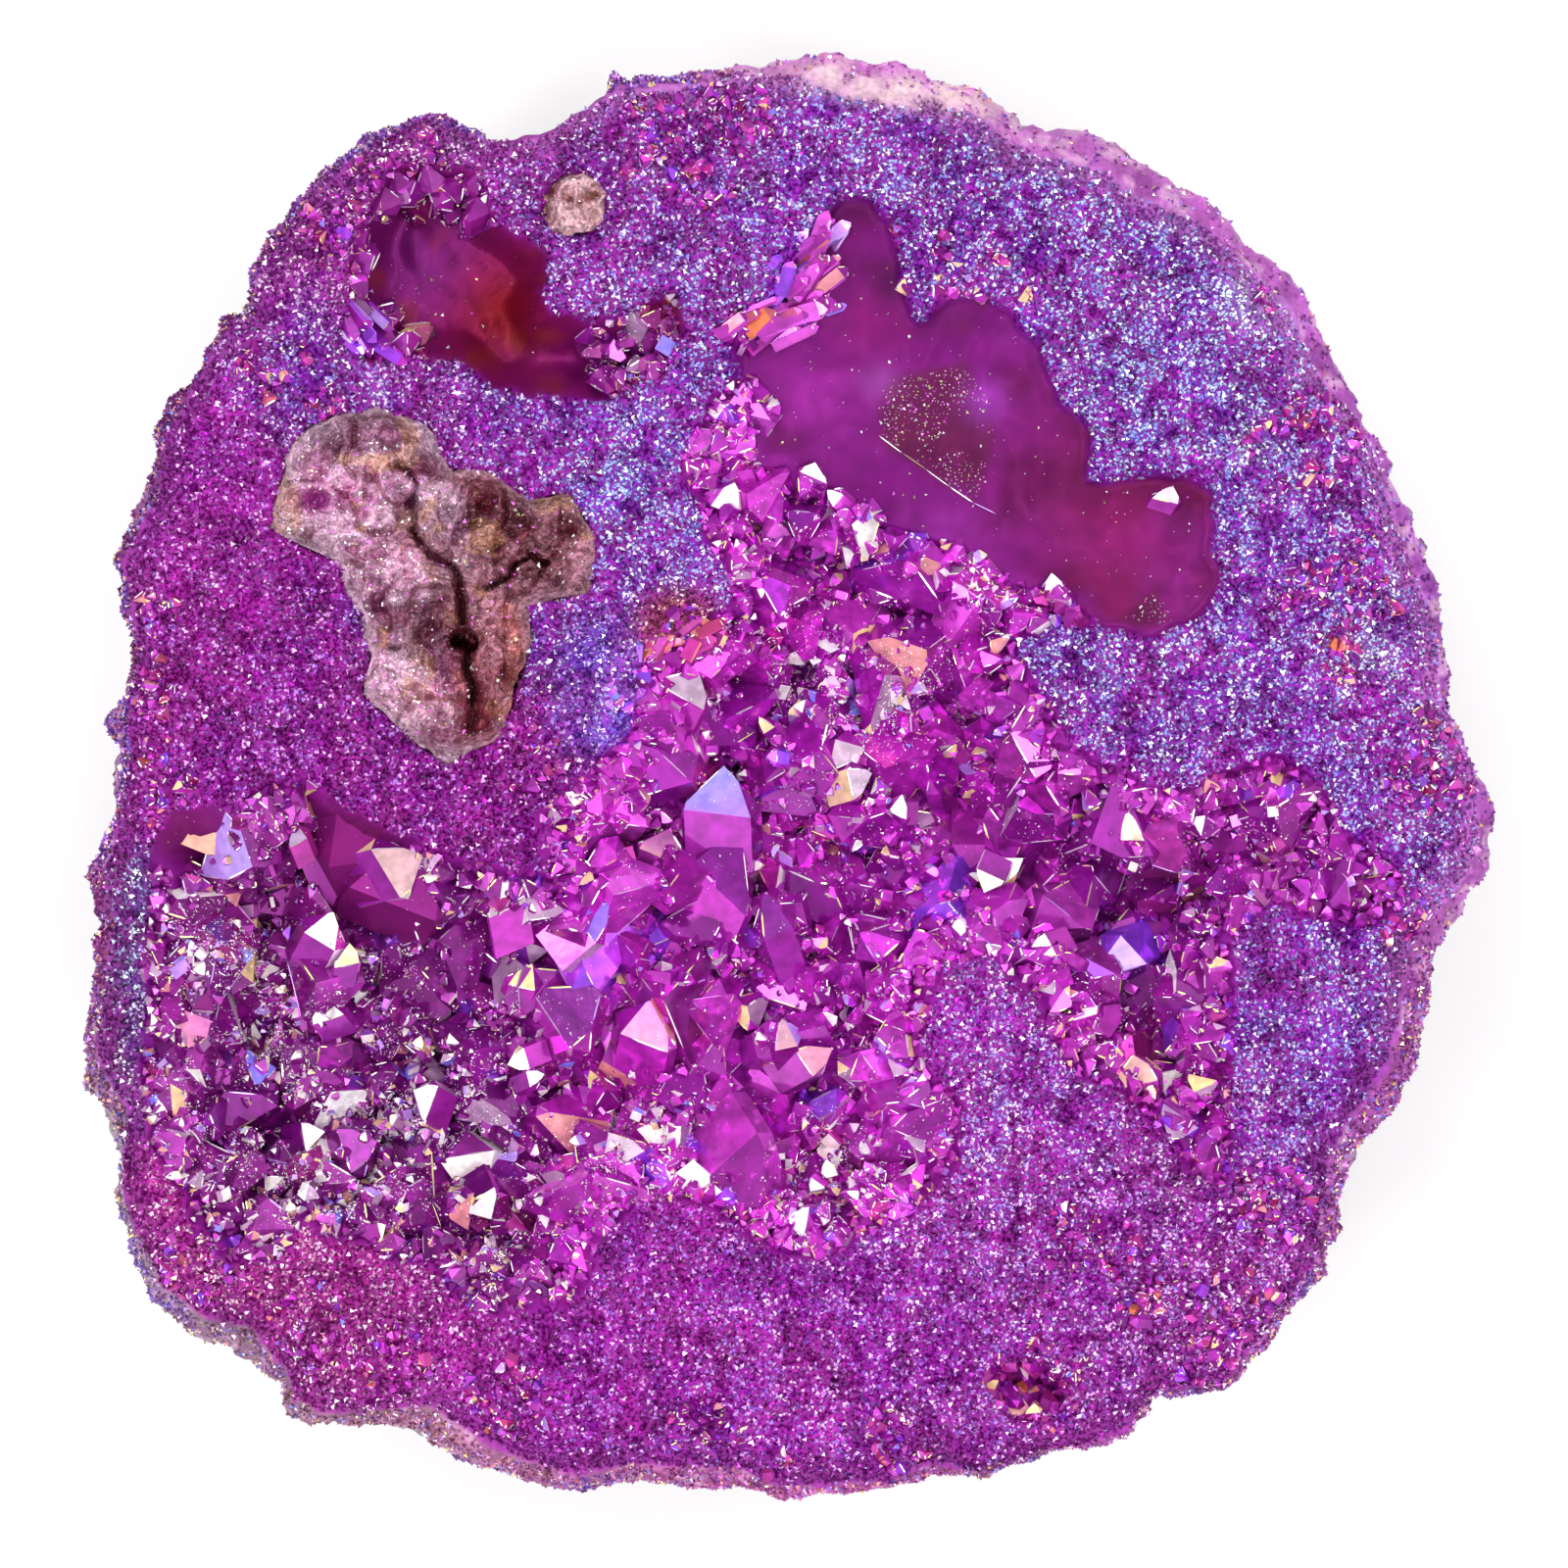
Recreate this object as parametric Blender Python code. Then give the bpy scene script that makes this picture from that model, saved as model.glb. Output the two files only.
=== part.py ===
"""Titanium aura quartz geode: half of a sawn nodule that lies on its back, sawn face up.

The stone is 112 x 115 mm across the sawn face and 42 mm deep, with its origin at the middle of
its foot, +Z up and out of the face. One hollow runs through the face from the north-east to the
lower left; it is lined with quartz points. A second pocket lies in the north-west, a vug full of
lumpy brown mineral in the west and a little crystal vug at the bottom right.
Lengths in the tables below are in millimetres, seen from above, +Y to the top.
"""
import math
import random

import bmesh
import bpy
from mathutils import Matrix, Vector

MM = 0.001
GAP = 0.35 * MM          # kept between a piece and the stone around it
FACE_Z = 42 * MM         # height of the sawn face over the foot
FOOT_SHARE = 0.56        # width of the ground foot as a share of the widest section
WIDEST_Z = 30 * MM       # above this height the side stands upright

# The widest section of the stone, clockwise from the top.
STONE_OUTLINE = [
    (3.5, 57.5), (14.5, 55), (18.5, 52), (26.5, 50), (29, 48), (33.5, 46), (41, 38), (42.5, 33.5),
    (47.5, 26.5), (48, 23), (52, 12), (52.5, 6), (55.5, 0.5), (56, -3.5), (55.5, -7.5), (51, -14.5),
    (49.5, -23.5), (44, -31), (42.5, -39.5), (35, -49), (29, -50), (27, -53), (14, -56),
    (11.5, -55.5), (7.5, -57), (-0.5, -57.5), (-4.5, -56), (-13.5, -56), (-17, -57),
    (-21.5, -56), (-29.5, -51.5), (-38.5, -52), (-40.5, -51), (-41, -48.5), (-44, -45),
    (-47.5, -44), (-51, -41.5), (-54, -33.5), (-53.5, -27), (-55.5, -24), (-56, -21),
    (-54.5, -12), (-55.5, -7.5), (-54.5, -5.5), (-53, 2), (-53.5, 4), (-52.5, 10), (-53.5, 17),
    (-51, 23), (-50, 27.5), (-45, 36.5), (-43, 37), (-43, 40), (-39.5, 45.5), (-33.5, 51),
    (-29.5, 53), (-24.5, 51), (-20, 51.5), (-17.5, 53.5), (-14, 55),
]
# Where the rim slopes away from the face: (direction in degrees, half width, slope in mm).
RIM_SLOPES = ((62, 24, 2.3), (-22, 16, 2.1), (-122, 26, 1.6))
RIM_PLAIN = 0.7          # slope of the rest of the rim

# The mouth of the large hollow. It starts at the top of the narrow chimney.
MAIN_MOUTH = [
    (4, 46), (6.5, 46), (8.5, 44.5), (9, 39), (10.5, 37), (15, 39), (18, 37.5), (22, 30),
    (24.5, 27.5), (24, 23.5), (32, 24), (34, 22.5), (34.5, 15.5), (32.5, 12.5), (29, 11),
    (22, 11.5), (18.5, 10), (23, 2.5), (28.5, 0), (32.5, -0.5), (38.5, 2.5), (42, 0),
    (44.5, -4), (49.5, -7.5), (50, -10.5), (45.5, -13), (38.5, -10.5), (36, -13.5),
    (35.5, -34), (32, -32.5), (29, -28), (22, -23.5), (19.5, -18), (16, -15), (12.5, -15),
    (10.5, -22), (13.5, -26), (14, -30.5), (10.5, -35), (5, -38), (-0.5, -39), (-6.5, -35),
    (-12, -34.5), (-15, -38), (-15.5, -40.5), (-18.5, -43), (-24, -43.5), (-29.5, -39.5),
    (-38.5, -36.5), (-40.5, -39), (-44.5, -39), (-48, -36), (-52, -26.5), (-52, -14.5),
    (-51, -9.5), (-51.5, -6), (-49, -2.5), (-45.5, -2.5), (-39.5, 0.5), (-29.5, -5.5),
    (-19.5, -7.5), (-20.5, -3), (-13, 4), (-12.5, 10), (-5, 14), (-9, 25), (-6, 31),
    (-4, 32.5), (-6.5, 35.5), (-2.5, 38),
]
# The line on the floor where the druse drops into the deep cavern, from the blades to the shelf.
CAVERN_EDGE = [(2.5, 34), (-0.5, 27), (3.5, 21), (12, 18), (17, 14)]
CAVERN_START = 3         # the cavern follows MAIN_MOUTH from this point
SHELF_START = 16         # to this one, and the druse's shelf from there to its end
CAVERN_OUTLINE = MAIN_MOUTH[CAVERN_START:SHELF_START + 1] + CAVERN_EDGE[::-1]
CAVERN_LEDGE = 0.6       # the deep part's walls stand this far inside the upper walls
POCKET_MOUTH = [
    (-32.5, 48.5), (-28, 49), (-24.5, 48.5), (-23.5, 45), (-19, 41.5), (-19.5, 37), (-16, 36.5),
    (-9, 38.5), (-8, 35.5), (-9.5, 32), (-14.5, 29.5), (-24, 30.5), (-26.5, 32.5), (-30, 33),
    (-33.5, 32.5), (-36, 35), (-35, 38.5), (-35.5, 43),
]
VUG_MOUTH = [
    (-40, 25.5), (-38, 28), (-33, 29.5), (-29, 28), (-27, 24.5), (-24, 24.5), (-20.5, 22),
    (-17.5, 22.5), (-15.5, 19), (-16, 14.5), (-21, 13.5), (-20.5, 11), (-23, 3), (-27, 1),
    (-30, 2.5), (-34, 6.5), (-33.5, 10.5), (-36, 17), (-41.5, 19.5),
]
SOUTH_MOUTH = [
    (16, -47), (18.5, -46.5), (21, -47), (22.5, -49), (22, -51), (19, -51.5), (16.5, -50.5),
    (15, -48.5),
]
# The crack through the brown mineral, from its north end to its south end.
CRACK_LINE = [(-30, 20), (-28, 18), (-26.5, 14.5), (-26, 10), (-25.5, 6), (-24.5, 3.5)]
CRACK_WIDTH = 1.1
NODULE_PLACE = (-17.2, 45.4)
NODULE_SIZE = 2.6        # radius

MAIN_DEPTH = 18          # from the face to the floor of each hollow
CAVERN_DEPTH = 26
POCKET_DEPTH = 18
VUG_DEPTH = 10
SOUTH_DEPTH = 6
WALL_DRAFT = 0.055       # how far the walls close in for each millimetre of depth
SHELF_BED = 14.5         # from the face to the bed that the points of the druse stand on
CAVERN_BED = 22.5        # and to the bed of the cavern
CAVERN_STEP = 2.0        # the floor starts to fall this far inside the cavern's edge
CAVERN_DROP = 6.0        # and falls over this width
POCKET_BED = 14.5
WALL_BED = 4.0           # the linings climb the walls to this far below the face
WALL_BAND = 7.0          # over this width
BED_GRID = 5.0           # spacing of the cuts that shape a bed
TIP_SHARE = 0.4          # points end at least this share of their bed's depth below the face
COLLAR = 0.5             # and nothing in a hollow is nearer to the face than this


def clear_scene():
    """Remove every object and mesh, so that the script always starts from nothing."""
    for old in list(bpy.data.objects):
        bpy.data.objects.remove(old, do_unlink=True)
    for old in list(bpy.data.meshes):
        bpy.data.meshes.remove(old)


def make_material(name, colour, roughness, metallic):
    """A Principled material in one linear colour."""
    made = bpy.data.materials.new(name)
    made.use_nodes = True
    shader = made.node_tree.nodes["Principled BSDF"]
    shader.inputs["Base Color"].default_value = (*colour, 1.0)
    shader.inputs["Roughness"].default_value = roughness
    shader.inputs["Metallic"].default_value = metallic
    return made


def make_object(name, bm, finish=None):
    """Turn a bmesh into an object with its faces pointing out."""
    bmesh.ops.recalc_face_normals(bm, faces=bm.faces)
    mesh = bpy.data.meshes.new(name)
    bm.to_mesh(mesh)
    bm.free()
    made = bpy.data.objects.new(name, mesh)
    bpy.context.scene.collection.objects.link(made)
    if finish is not None:
        mesh.materials.append(finish)
    return made


def metres(points, z):
    """A flat loop of vectors in metres from points in millimetres."""
    return [Vector((x * MM, y * MM, z)) for x, y in points]


def inset(points, distance):
    """Move every edge of a clockwise outline inwards by the distance, corners mitred."""
    moved = []
    for index, (x, y) in enumerate(points):
        before = points[index - 1]
        after = points[(index + 1) % len(points)]
        into = Vector((x - before[0], y - before[1])).normalized()
        out = Vector((after[0] - x, after[1] - y)).normalized()
        normal_in = Vector((into.y, -into.x))
        normal_out = Vector((out.y, -out.x))
        middle = (normal_in + normal_out).normalized()
        reach = distance / max(middle.dot(normal_in), 0.4)
        moved.append((x + middle.x * reach, y + middle.y * reach))
    return moved


def inside(x, y, outline):
    """True when a point lies in an outline: a ray from it crosses the edges an odd number of times."""
    crossed = False
    for index, (x1, y1) in enumerate(outline):
        x0, y0 = outline[index - 1]
        if (y0 > y) != (y1 > y) and x < x0 + (y - y0) * (x1 - x0) / (y1 - y0):
            crossed = not crossed
    return crossed


def away_from(x, y, path, closed=True):
    """The distance from a point to the nearest stretch of an outline or a line."""
    nearest = math.inf
    for index in range(0 if closed else 1, len(path)):
        (x0, y0), (x1, y1) = path[index - 1], path[index]
        run = (x1 - x0) ** 2 + (y1 - y0) ** 2
        share = max(0.0, min(1.0, ((x - x0) * (x1 - x0) + (y - y0) * (y1 - y0)) / run))
        nearest = min(nearest, math.hypot(x - x0 - share * (x1 - x0), y - y0 - share * (y1 - y0)))
    return nearest


def ease(value):
    """A smooth step from 0 to 1."""
    value = max(0.0, min(1.0, value))
    return value * value * (3 - 2 * value)


def loft(rings):
    """A closed bmesh through rings of equal length, from the lowest to the highest."""
    bm = bmesh.new()
    rows = [[bm.verts.new(point) for point in ring] for ring in rings]
    for low, high in zip(rows, rows[1:]):
        for index in range(len(low)):
            bm.faces.new((low[index - 1], low[index], high[index], high[index - 1]))
    bm.faces.new(rows[0])
    bm.faces.new(rows[-1])
    return bm


def well(outline, depth, margin=0.0, top=None):
    """The space of a hollow: the mouth drawn down to its floor, its walls closing in on the way.

    margin keeps the solid that far from the wall, and top is its height under the face."""
    top = -1.0 if top is None else top
    low = inset(outline, margin + WALL_DRAFT * depth)
    high = inset(outline, margin + WALL_DRAFT * max(top, 0.0))
    floor = FACE_Z - (depth - margin) * MM
    return loft([metres(low, floor), metres(high, FACE_Z - top * MM)])


def boolean(target, other, operation, crossing=False):
    """Add a Boolean to the target, and hide the other object, which is only its tool."""
    step = target.modifiers.new(operation.lower(), "BOOLEAN")
    step.object = other
    step.operation = operation
    step.solver = "EXACT"
    step.use_self = crossing
    other.hide_render = True
    other.display_type = "WIRE"


def rim_slope(angle):
    """How far the rim slopes in from the widest section in one direction, in millimetres."""
    slope = RIM_PLAIN
    for middle, width, height in RIM_SLOPES:
        away = (math.degrees(angle) - middle + 180) % 360 - 180
        slope += (height - RIM_PLAIN) * math.exp(-(away / width) ** 2)
    return slope


def stone_ring(height):
    """The stone's section at one height, lumpy like weathered cortex."""
    share = min(height / WIDEST_Z, 1.0)
    width = 1.0 - (1.0 - FOOT_SHARE) * (1.0 - share) ** 2.3
    ring = []
    for x, y in STONE_OUTLINE:
        angle = math.atan2(y, x)
        lump = math.sin(3 * angle + 90 * height) + 0.7 * math.sin(7 * angle - 210 * height + 1.3)
        under = min(height, FACE_Z - 8 * MM - height) / (10 * MM)
        scale = width * (1.0 + 0.011 * lump * max(0.0, min(under, 1.0)))
        ring.append(Vector((x * scale * MM, y * scale * MM, height)))
    return ring


def make_stone(finish):
    """The stone: sections stacked from the ground foot to the widest, then the sloping rim."""
    rings = [stone_ring(height * MM) for height in (0, 4, 9, 15, 22, 30)]
    edge = []
    face = []
    for x, y in STONE_OUTLINE:
        slope = rim_slope(math.atan2(y, x))
        away = math.hypot(x, y)
        shrink = 1.0 - slope / away
        edge.append(Vector((x * MM, y * MM, FACE_Z - (1.0 + 1.4 * slope) * MM)))
        face.append(Vector((x * shrink * MM, y * shrink * MM, FACE_Z)))
    return make_object("geode_matrix", loft(rings + [edge, face]), finish)


def main_level(x, y):
    """Depth of the large hollow's bed: the shelf, the cavern's drop and the climb up the walls."""
    drop = 0.0
    if inside(x, y, CAVERN_OUTLINE):
        edge = away_from(x, y, CAVERN_EDGE, closed=False)
        drop = ease((edge - CAVERN_STEP) / CAVERN_DROP)
    deep = SHELF_BED + (CAVERN_BED - SHELF_BED) * drop
    return WALL_BED + (deep - WALL_BED) * ease(away_from(x, y, MAIN_MOUTH) / WALL_BAND)


def pocket_level(x, y):
    """Depth of the pocket's bed, which climbs its walls in the same way."""
    return WALL_BED + (POCKET_BED - WALL_BED) * ease(away_from(x, y, POCKET_MOUTH) / WALL_BAND)


def shaped_bed(outline, depth, level):
    """A lining's bed: the hollow's lower part, its top cut into a grid and sunk to the level."""
    bm = well(outline, depth, 0.0, WALL_BED)
    top = FACE_Z - WALL_BED * MM
    xs = [x for x, _ in outline]
    ys = [y for _, y in outline]
    for values, normal in ((xs, Vector((1, 0, 0))), (ys, Vector((0, 1, 0)))):
        for cut in range(1, int((max(values) - min(values)) / BED_GRID) + 1):
            faces = [face for face in bm.faces if all(v.co.z > top - 1e-6 for v in face.verts)]
            parts = {part for face in faces for part in (*face.verts, *face.edges, face)}
            place = normal * (min(values) + cut * BED_GRID) * MM
            bmesh.ops.bisect_plane(bm, geom=list(parts), dist=0.2 * MM, plane_co=place,
                                   plane_no=normal)
    faces = [face for face in bm.faces if all(v.co.z > top - 1e-6 for v in face.verts)]
    bmesh.ops.triangulate(bm, faces=faces)
    for vertex in bm.verts:
        on_top = all(all(v.co.z > top - 1e-6 for v in face.verts) for face in vertex.link_faces)
        vertex.tag = on_top
    sunk = [vertex for vertex in bm.verts if vertex.tag]
    for vertex in sunk:
        vertex.co.z = FACE_Z - level(vertex.co.x / MM, vertex.co.y / MM) * MM
    return bm


def add_point(bm, foot, lean, radius, length, turn):
    """One quartz point: a six-sided prism with a six-sided tip, its three larger faces pushed in."""
    frame = Matrix.Translation(foot) @ lean.to_track_quat("Z", "Y").to_matrix().to_4x4()
    tip_height = radius * 1.25
    shoulder = max(length - tip_height, 0.15 * length)
    rings = []
    for height, uneven in ((-0.8 * radius, 0.0), (shoulder, 0.14)):
        ring = []
        for side in range(6):
            angle = math.radians(60 * side) + turn
            rise = height + uneven * radius * (1 if side % 2 else -1)
            point = Vector((radius * math.cos(angle), radius * math.sin(angle), rise))
            ring.append(bm.verts.new(frame @ point))
        rings.append(ring)
    apex = bm.verts.new(frame @ Vector((0.0, 0.0, length)))
    low, high = rings
    for side in range(6):
        bm.faces.new((low[side - 1], low[side], high[side], high[side - 1]))
        bm.faces.new((high[side - 1], high[side], apex))
    bm.faces.new(low)


def scatter(outline, sizes, seed, crowding=0.8):
    """Places for points over an outline, the largest first, none crowding another.

    sizes lists (radius, tries). Returns (x, y, radius) in millimetres."""
    dice = random.Random(seed)
    xs = [x for x, _ in outline]
    ys = [y for _, y in outline]
    placed = []
    for radius, tries in sizes:
        for _ in range(tries):
            x = dice.uniform(min(xs), max(xs))
            y = dice.uniform(min(ys), max(ys))
            size = radius * dice.uniform(0.85, 1.15)
            if not inside(x, y, outline):
                continue
            if all(math.hypot(x - u, y - v) > crowding * (size + r) for u, v, r in placed):
                placed.append((x, y, size))
    return placed


def grow(bm, places, level, tallest, seed, spread=0.25):
    """Stand a quartz point on each place, square to the bed there, bigger ones taller."""
    dice = random.Random(seed)
    for x, y, radius in places:
        depth = level(x, y)
        slope_x = (level(x - 0.5, y) - level(x + 0.5, y)) * 0.6
        slope_y = (level(x, y - 0.5) - level(x, y + 0.5)) * 0.6
        lean = Vector((dice.gauss(-slope_x, spread), dice.gauss(-slope_y, spread), 1.0)).normalized()
        length = min(radius * dice.uniform(1.9, 2.7), tallest, depth * (1.0 - TIP_SHARE))
        foot = Vector((x * MM, y * MM, FACE_Z - depth * MM))
        add_point(bm, foot, lean, radius * MM, length * MM, dice.uniform(0, math.pi))


def line(name, bed, points, space, finish):
    """A crystal lining: its bed and points grown together, trimmed to the space they have."""
    lining = make_object(name, bed, finish)
    boolean(lining, make_object(name + "_points", points), "UNION", crossing=True)
    boolean(lining, space, "INTERSECT")
    return lining


def space_in(name, mouth, depth):
    """The space that a lining may fill: its hollow, less a gap along the walls and a collar."""
    return make_object(name + "_space", well(mouth, depth, GAP / MM, COLLAR))


def make_main_druse(finish):
    """The druse of the large hollow: crowded points on its shelf, large ones in the cavern."""
    shelf = MAIN_MOUTH[SHELF_START:] + CAVERN_EDGE
    points = bmesh.new()
    shelf_places = scatter(inset(shelf, 1.0), ((4.0, 60), (3.0, 200), (2.3, 260)), 111, 0.72)
    grow(points, shelf_places, main_level, 8.5, seed=12)
    cavern_places = scatter(inset(CAVERN_OUTLINE, 1.6), ((6.0, 30), (4.0, 80)), 4, 0.7)
    grow(points, cavern_places, main_level, 9.0, seed=5)
    space = space_in("main_druse", MAIN_MOUTH, MAIN_DEPTH)
    deep = well(inset(CAVERN_OUTLINE, CAVERN_LEDGE), CAVERN_DEPTH, GAP / MM, WALL_BED)
    boolean(space, make_object("cavern_space", deep), "UNION")
    bed = shaped_bed(MAIN_MOUTH, CAVERN_DEPTH + 1, main_level)
    return line("main_druse", bed, points, space, finish)


def make_pocket(finish):
    """The lining of the north-west pocket: blocky points round a deep middle."""
    points = bmesh.new()
    places = scatter(inset(POCKET_MOUTH, 1.0), ((2.8, 60), (2.0, 160)), 8)
    grow(points, places, pocket_level, 6.0, seed=9)
    bed = shaped_bed(POCKET_MOUTH, POCKET_DEPTH + 1, pocket_level)
    space = space_in("pocket_crystals", POCKET_MOUTH, POCKET_DEPTH)
    return line("pocket_crystals", bed, points, space, finish)


def make_south_vug(finish):
    """The little vug at the lower right, with a few short points."""
    points = bmesh.new()
    places = scatter(inset(SOUTH_MOUTH, 0.5), ((1.4, 60),), seed=3)
    grow(points, places, lambda x, y: 4.0, 2.6, seed=2)
    bed = well(SOUTH_MOUTH, SOUTH_DEPTH + 1, 0.0, 4.0)
    space = space_in("south_vug_crystals", SOUTH_MOUTH, SOUTH_DEPTH)
    return line("south_vug_crystals", bed, points, space, finish)


def knobbly(vertices, centre, size, roughness):
    """Push the points of a ball in and out along their own directions, in waves of its size."""
    for vertex in vertices:
        way = (vertex.co - centre) / size
        wave = math.sin(6.1 * way.x + 1.7) * math.sin(5.3 * way.y + 0.4) + math.sin(7.7 * way.z)
        vertex.co = centre + way * size * (1.0 + roughness * wave)


def make_vug_mineral(finish):
    """The brown mineral of the west vug: a bed with rounded lumps, split by a narrow crack."""
    lumps = bmesh.new()
    dice = random.Random(21)
    for x, y, radius in scatter(inset(VUG_MOUTH, 1.5), ((4.2, 60), (3.0, 200)), 220, 0.75):
        place = Vector((x * MM, y * MM, FACE_Z - (7.0 - dice.uniform(0, 1.2)) * MM))
        squash = Matrix.Diagonal((1.0, 1.0, dice.uniform(0.85, 1.05), 1.0))
        ball = bmesh.ops.create_icosphere(lumps, subdivisions=2, radius=radius * MM,
                                          matrix=Matrix.Translation(place) @ squash)
        knobbly(ball["verts"], place, radius * MM, 0.07)
    bed = well(VUG_MOUTH, VUG_DEPTH + 1, 0.0, 6.5)
    space = space_in("vug_mineral", VUG_MOUTH, VUG_DEPTH)
    mineral = line("vug_mineral", bed, lumps, space, finish)
    crack = bmesh.new()
    rows = []
    for index, (x, y) in enumerate(CRACK_LINE):
        taper = 0.25 + math.sin(math.pi * (index + 0.5) / len(CRACK_LINE))
        half = 0.5 * CRACK_WIDTH * taper
        top, bottom = FACE_Z + 1 * MM, FACE_Z - 8.6 * MM
        corners = ((x - half, bottom), (x + half, bottom), (x + 1.6 * half, top), (x - 1.6 * half, top))
        rows.append([crack.verts.new((u * MM, y * MM, z)) for u, z in corners])
    for low, high in zip(rows, rows[1:]):
        for side in range(4):
            crack.faces.new((low[side - 1], low[side], high[side], high[side - 1]))
    crack.faces.new(rows[0])
    crack.faces.new(rows[-1])
    boolean(mineral, make_object("vug_crack", crack), "DIFFERENCE")
    return mineral


def make_nodule(stone, finish):
    """The brown nodule near the rim: a knobbly ball half sunk in a dimple of the stone."""
    x, y = NODULE_PLACE
    place = Vector((x * MM, y * MM, FACE_Z - 1.7 * MM))
    ball = bmesh.new()
    bmesh.ops.create_icosphere(ball, subdivisions=3, radius=NODULE_SIZE * MM)
    knobbly(ball.verts, Vector(), NODULE_SIZE * MM, 0.035)
    bmesh.ops.scale(ball, verts=ball.verts, vec=Vector((1.0, 1.0, 0.6)))
    bmesh.ops.translate(ball, verts=ball.verts, vec=place)
    nodule = make_object("rim_nodule", ball, finish)
    dimple = bmesh.new()
    bmesh.ops.create_icosphere(dimple, subdivisions=3, radius=(NODULE_SIZE + 0.6) * MM)
    bmesh.ops.translate(dimple, verts=dimple.verts, vec=place)
    boolean(stone, make_object("nodule_dimple", dimple), "DIFFERENCE")
    return nodule


def main():
    clear_scene()
    stone_finish = make_material("aura_stone", (0.27, 0.03, 0.33), 0.45, 0.3)
    quartz_finish = make_material("aura_quartz", (0.36, 0.02, 0.30), 0.08, 0.4)
    mineral_finish = make_material("brown_mineral", (0.33, 0.12, 0.14), 0.5, 0.2)
    stone = make_stone(stone_finish)
    for name, mouth, depth in (("main_well", MAIN_MOUTH, MAIN_DEPTH),
                               ("pocket_well", POCKET_MOUTH, POCKET_DEPTH),
                               ("vug_well", VUG_MOUTH, VUG_DEPTH),
                               ("south_well", SOUTH_MOUTH, SOUTH_DEPTH)):
        boolean(stone, make_object(name, well(mouth, depth)), "DIFFERENCE")
    deep = well(inset(CAVERN_OUTLINE, CAVERN_LEDGE), CAVERN_DEPTH, 0.0, WALL_BED)
    boolean(stone, make_object("cavern_well", deep), "DIFFERENCE")
    make_nodule(stone, mineral_finish)
    make_main_druse(quartz_finish)
    make_pocket(quartz_finish)
    make_south_vug(quartz_finish)
    make_vug_mineral(mineral_finish)


main()
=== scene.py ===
# %% [markdown]
# # The looks of a titanium aura quartz geode
# The real object is half of a geode, a round stone that grew hollow, with its hollow lined by
# quartz. After sawing, it was heated in a vacuum chamber while titanium and niobium vapour
# settled on every face. That film is what makes the sand of the cut glitter blue and violet and
# turns the clear quartz magenta. Here the stone is one closed skin, and everything that glitters
# on it (sand grains, quartz points, needles of light) is real geometry on top of that skin.

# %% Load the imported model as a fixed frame
import math

import bpy
import numpy as np
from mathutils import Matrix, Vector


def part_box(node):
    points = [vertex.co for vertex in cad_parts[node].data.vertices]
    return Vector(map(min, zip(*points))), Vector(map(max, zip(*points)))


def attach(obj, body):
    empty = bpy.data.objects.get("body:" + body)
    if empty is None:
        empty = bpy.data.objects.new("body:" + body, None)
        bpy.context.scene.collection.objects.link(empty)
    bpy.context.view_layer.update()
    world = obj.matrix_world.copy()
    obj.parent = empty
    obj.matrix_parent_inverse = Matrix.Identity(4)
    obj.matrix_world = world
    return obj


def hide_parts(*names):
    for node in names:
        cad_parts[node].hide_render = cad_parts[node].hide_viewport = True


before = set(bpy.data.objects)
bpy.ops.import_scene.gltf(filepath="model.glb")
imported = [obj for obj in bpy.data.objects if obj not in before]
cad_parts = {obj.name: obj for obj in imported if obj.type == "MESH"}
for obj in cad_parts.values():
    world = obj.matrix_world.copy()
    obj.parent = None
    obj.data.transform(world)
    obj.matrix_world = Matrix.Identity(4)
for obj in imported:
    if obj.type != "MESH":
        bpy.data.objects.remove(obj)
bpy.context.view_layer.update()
MM = 0.001
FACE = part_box("geode_matrix")[1][2] / MM
print("nodes:", sorted(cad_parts), "face at", round(FACE, 2), "mm")

# %% [markdown]
# ## Reading the outlines from the model
# The sawn face is flat, so the triangles that lie in it end exactly at the stone's edge and at
# the mouths of the hollows. An edge that only one of those triangles uses is part of an outline.
# Reading the outlines here means that the stone, the sand and the crystals all meet the same
# lines, and nothing has to be typed in twice.


# %% Outlines of the sawn face, in millimetres
FLATNESS = 0.02           # triangles this near to the top count as part of the sawn face


def face_outlines(mesh, spots):
    """Closed outlines of a mesh's top face, the largest first, each an array of (x, y)."""
    mesh.calc_loop_triangles()
    corners = np.empty(len(mesh.loop_triangles) * 3, dtype=int)
    mesh.loop_triangles.foreach_get("vertices", corners)
    places, same = np.unique(np.round(spots, 2), axis=0, return_inverse=True)
    corners = same.reshape(-1)[corners].reshape(-1, 3)
    flat = corners[(places[corners][:, :, 2] > FACE - FLATNESS).all(axis=1)]
    edges = np.concatenate([flat[:, [0, 1]], flat[:, [1, 2]], flat[:, [2, 0]]])
    inner = {(int(b), int(a)) for a, b in edges}
    follow = {int(a): int(b) for a, b in edges if (int(a), int(b)) not in inner}
    outlines = []
    while follow:
        start, here = follow.popitem()
        walk = [start]
        while here != start:
            walk.append(here)
            here = follow.pop(here)
        outlines.append(places[walk][:, :2])
    return sorted(outlines, key=lambda loop: -np.ptp(loop[:, 0]) * np.ptp(loop[:, 1]))


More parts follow.
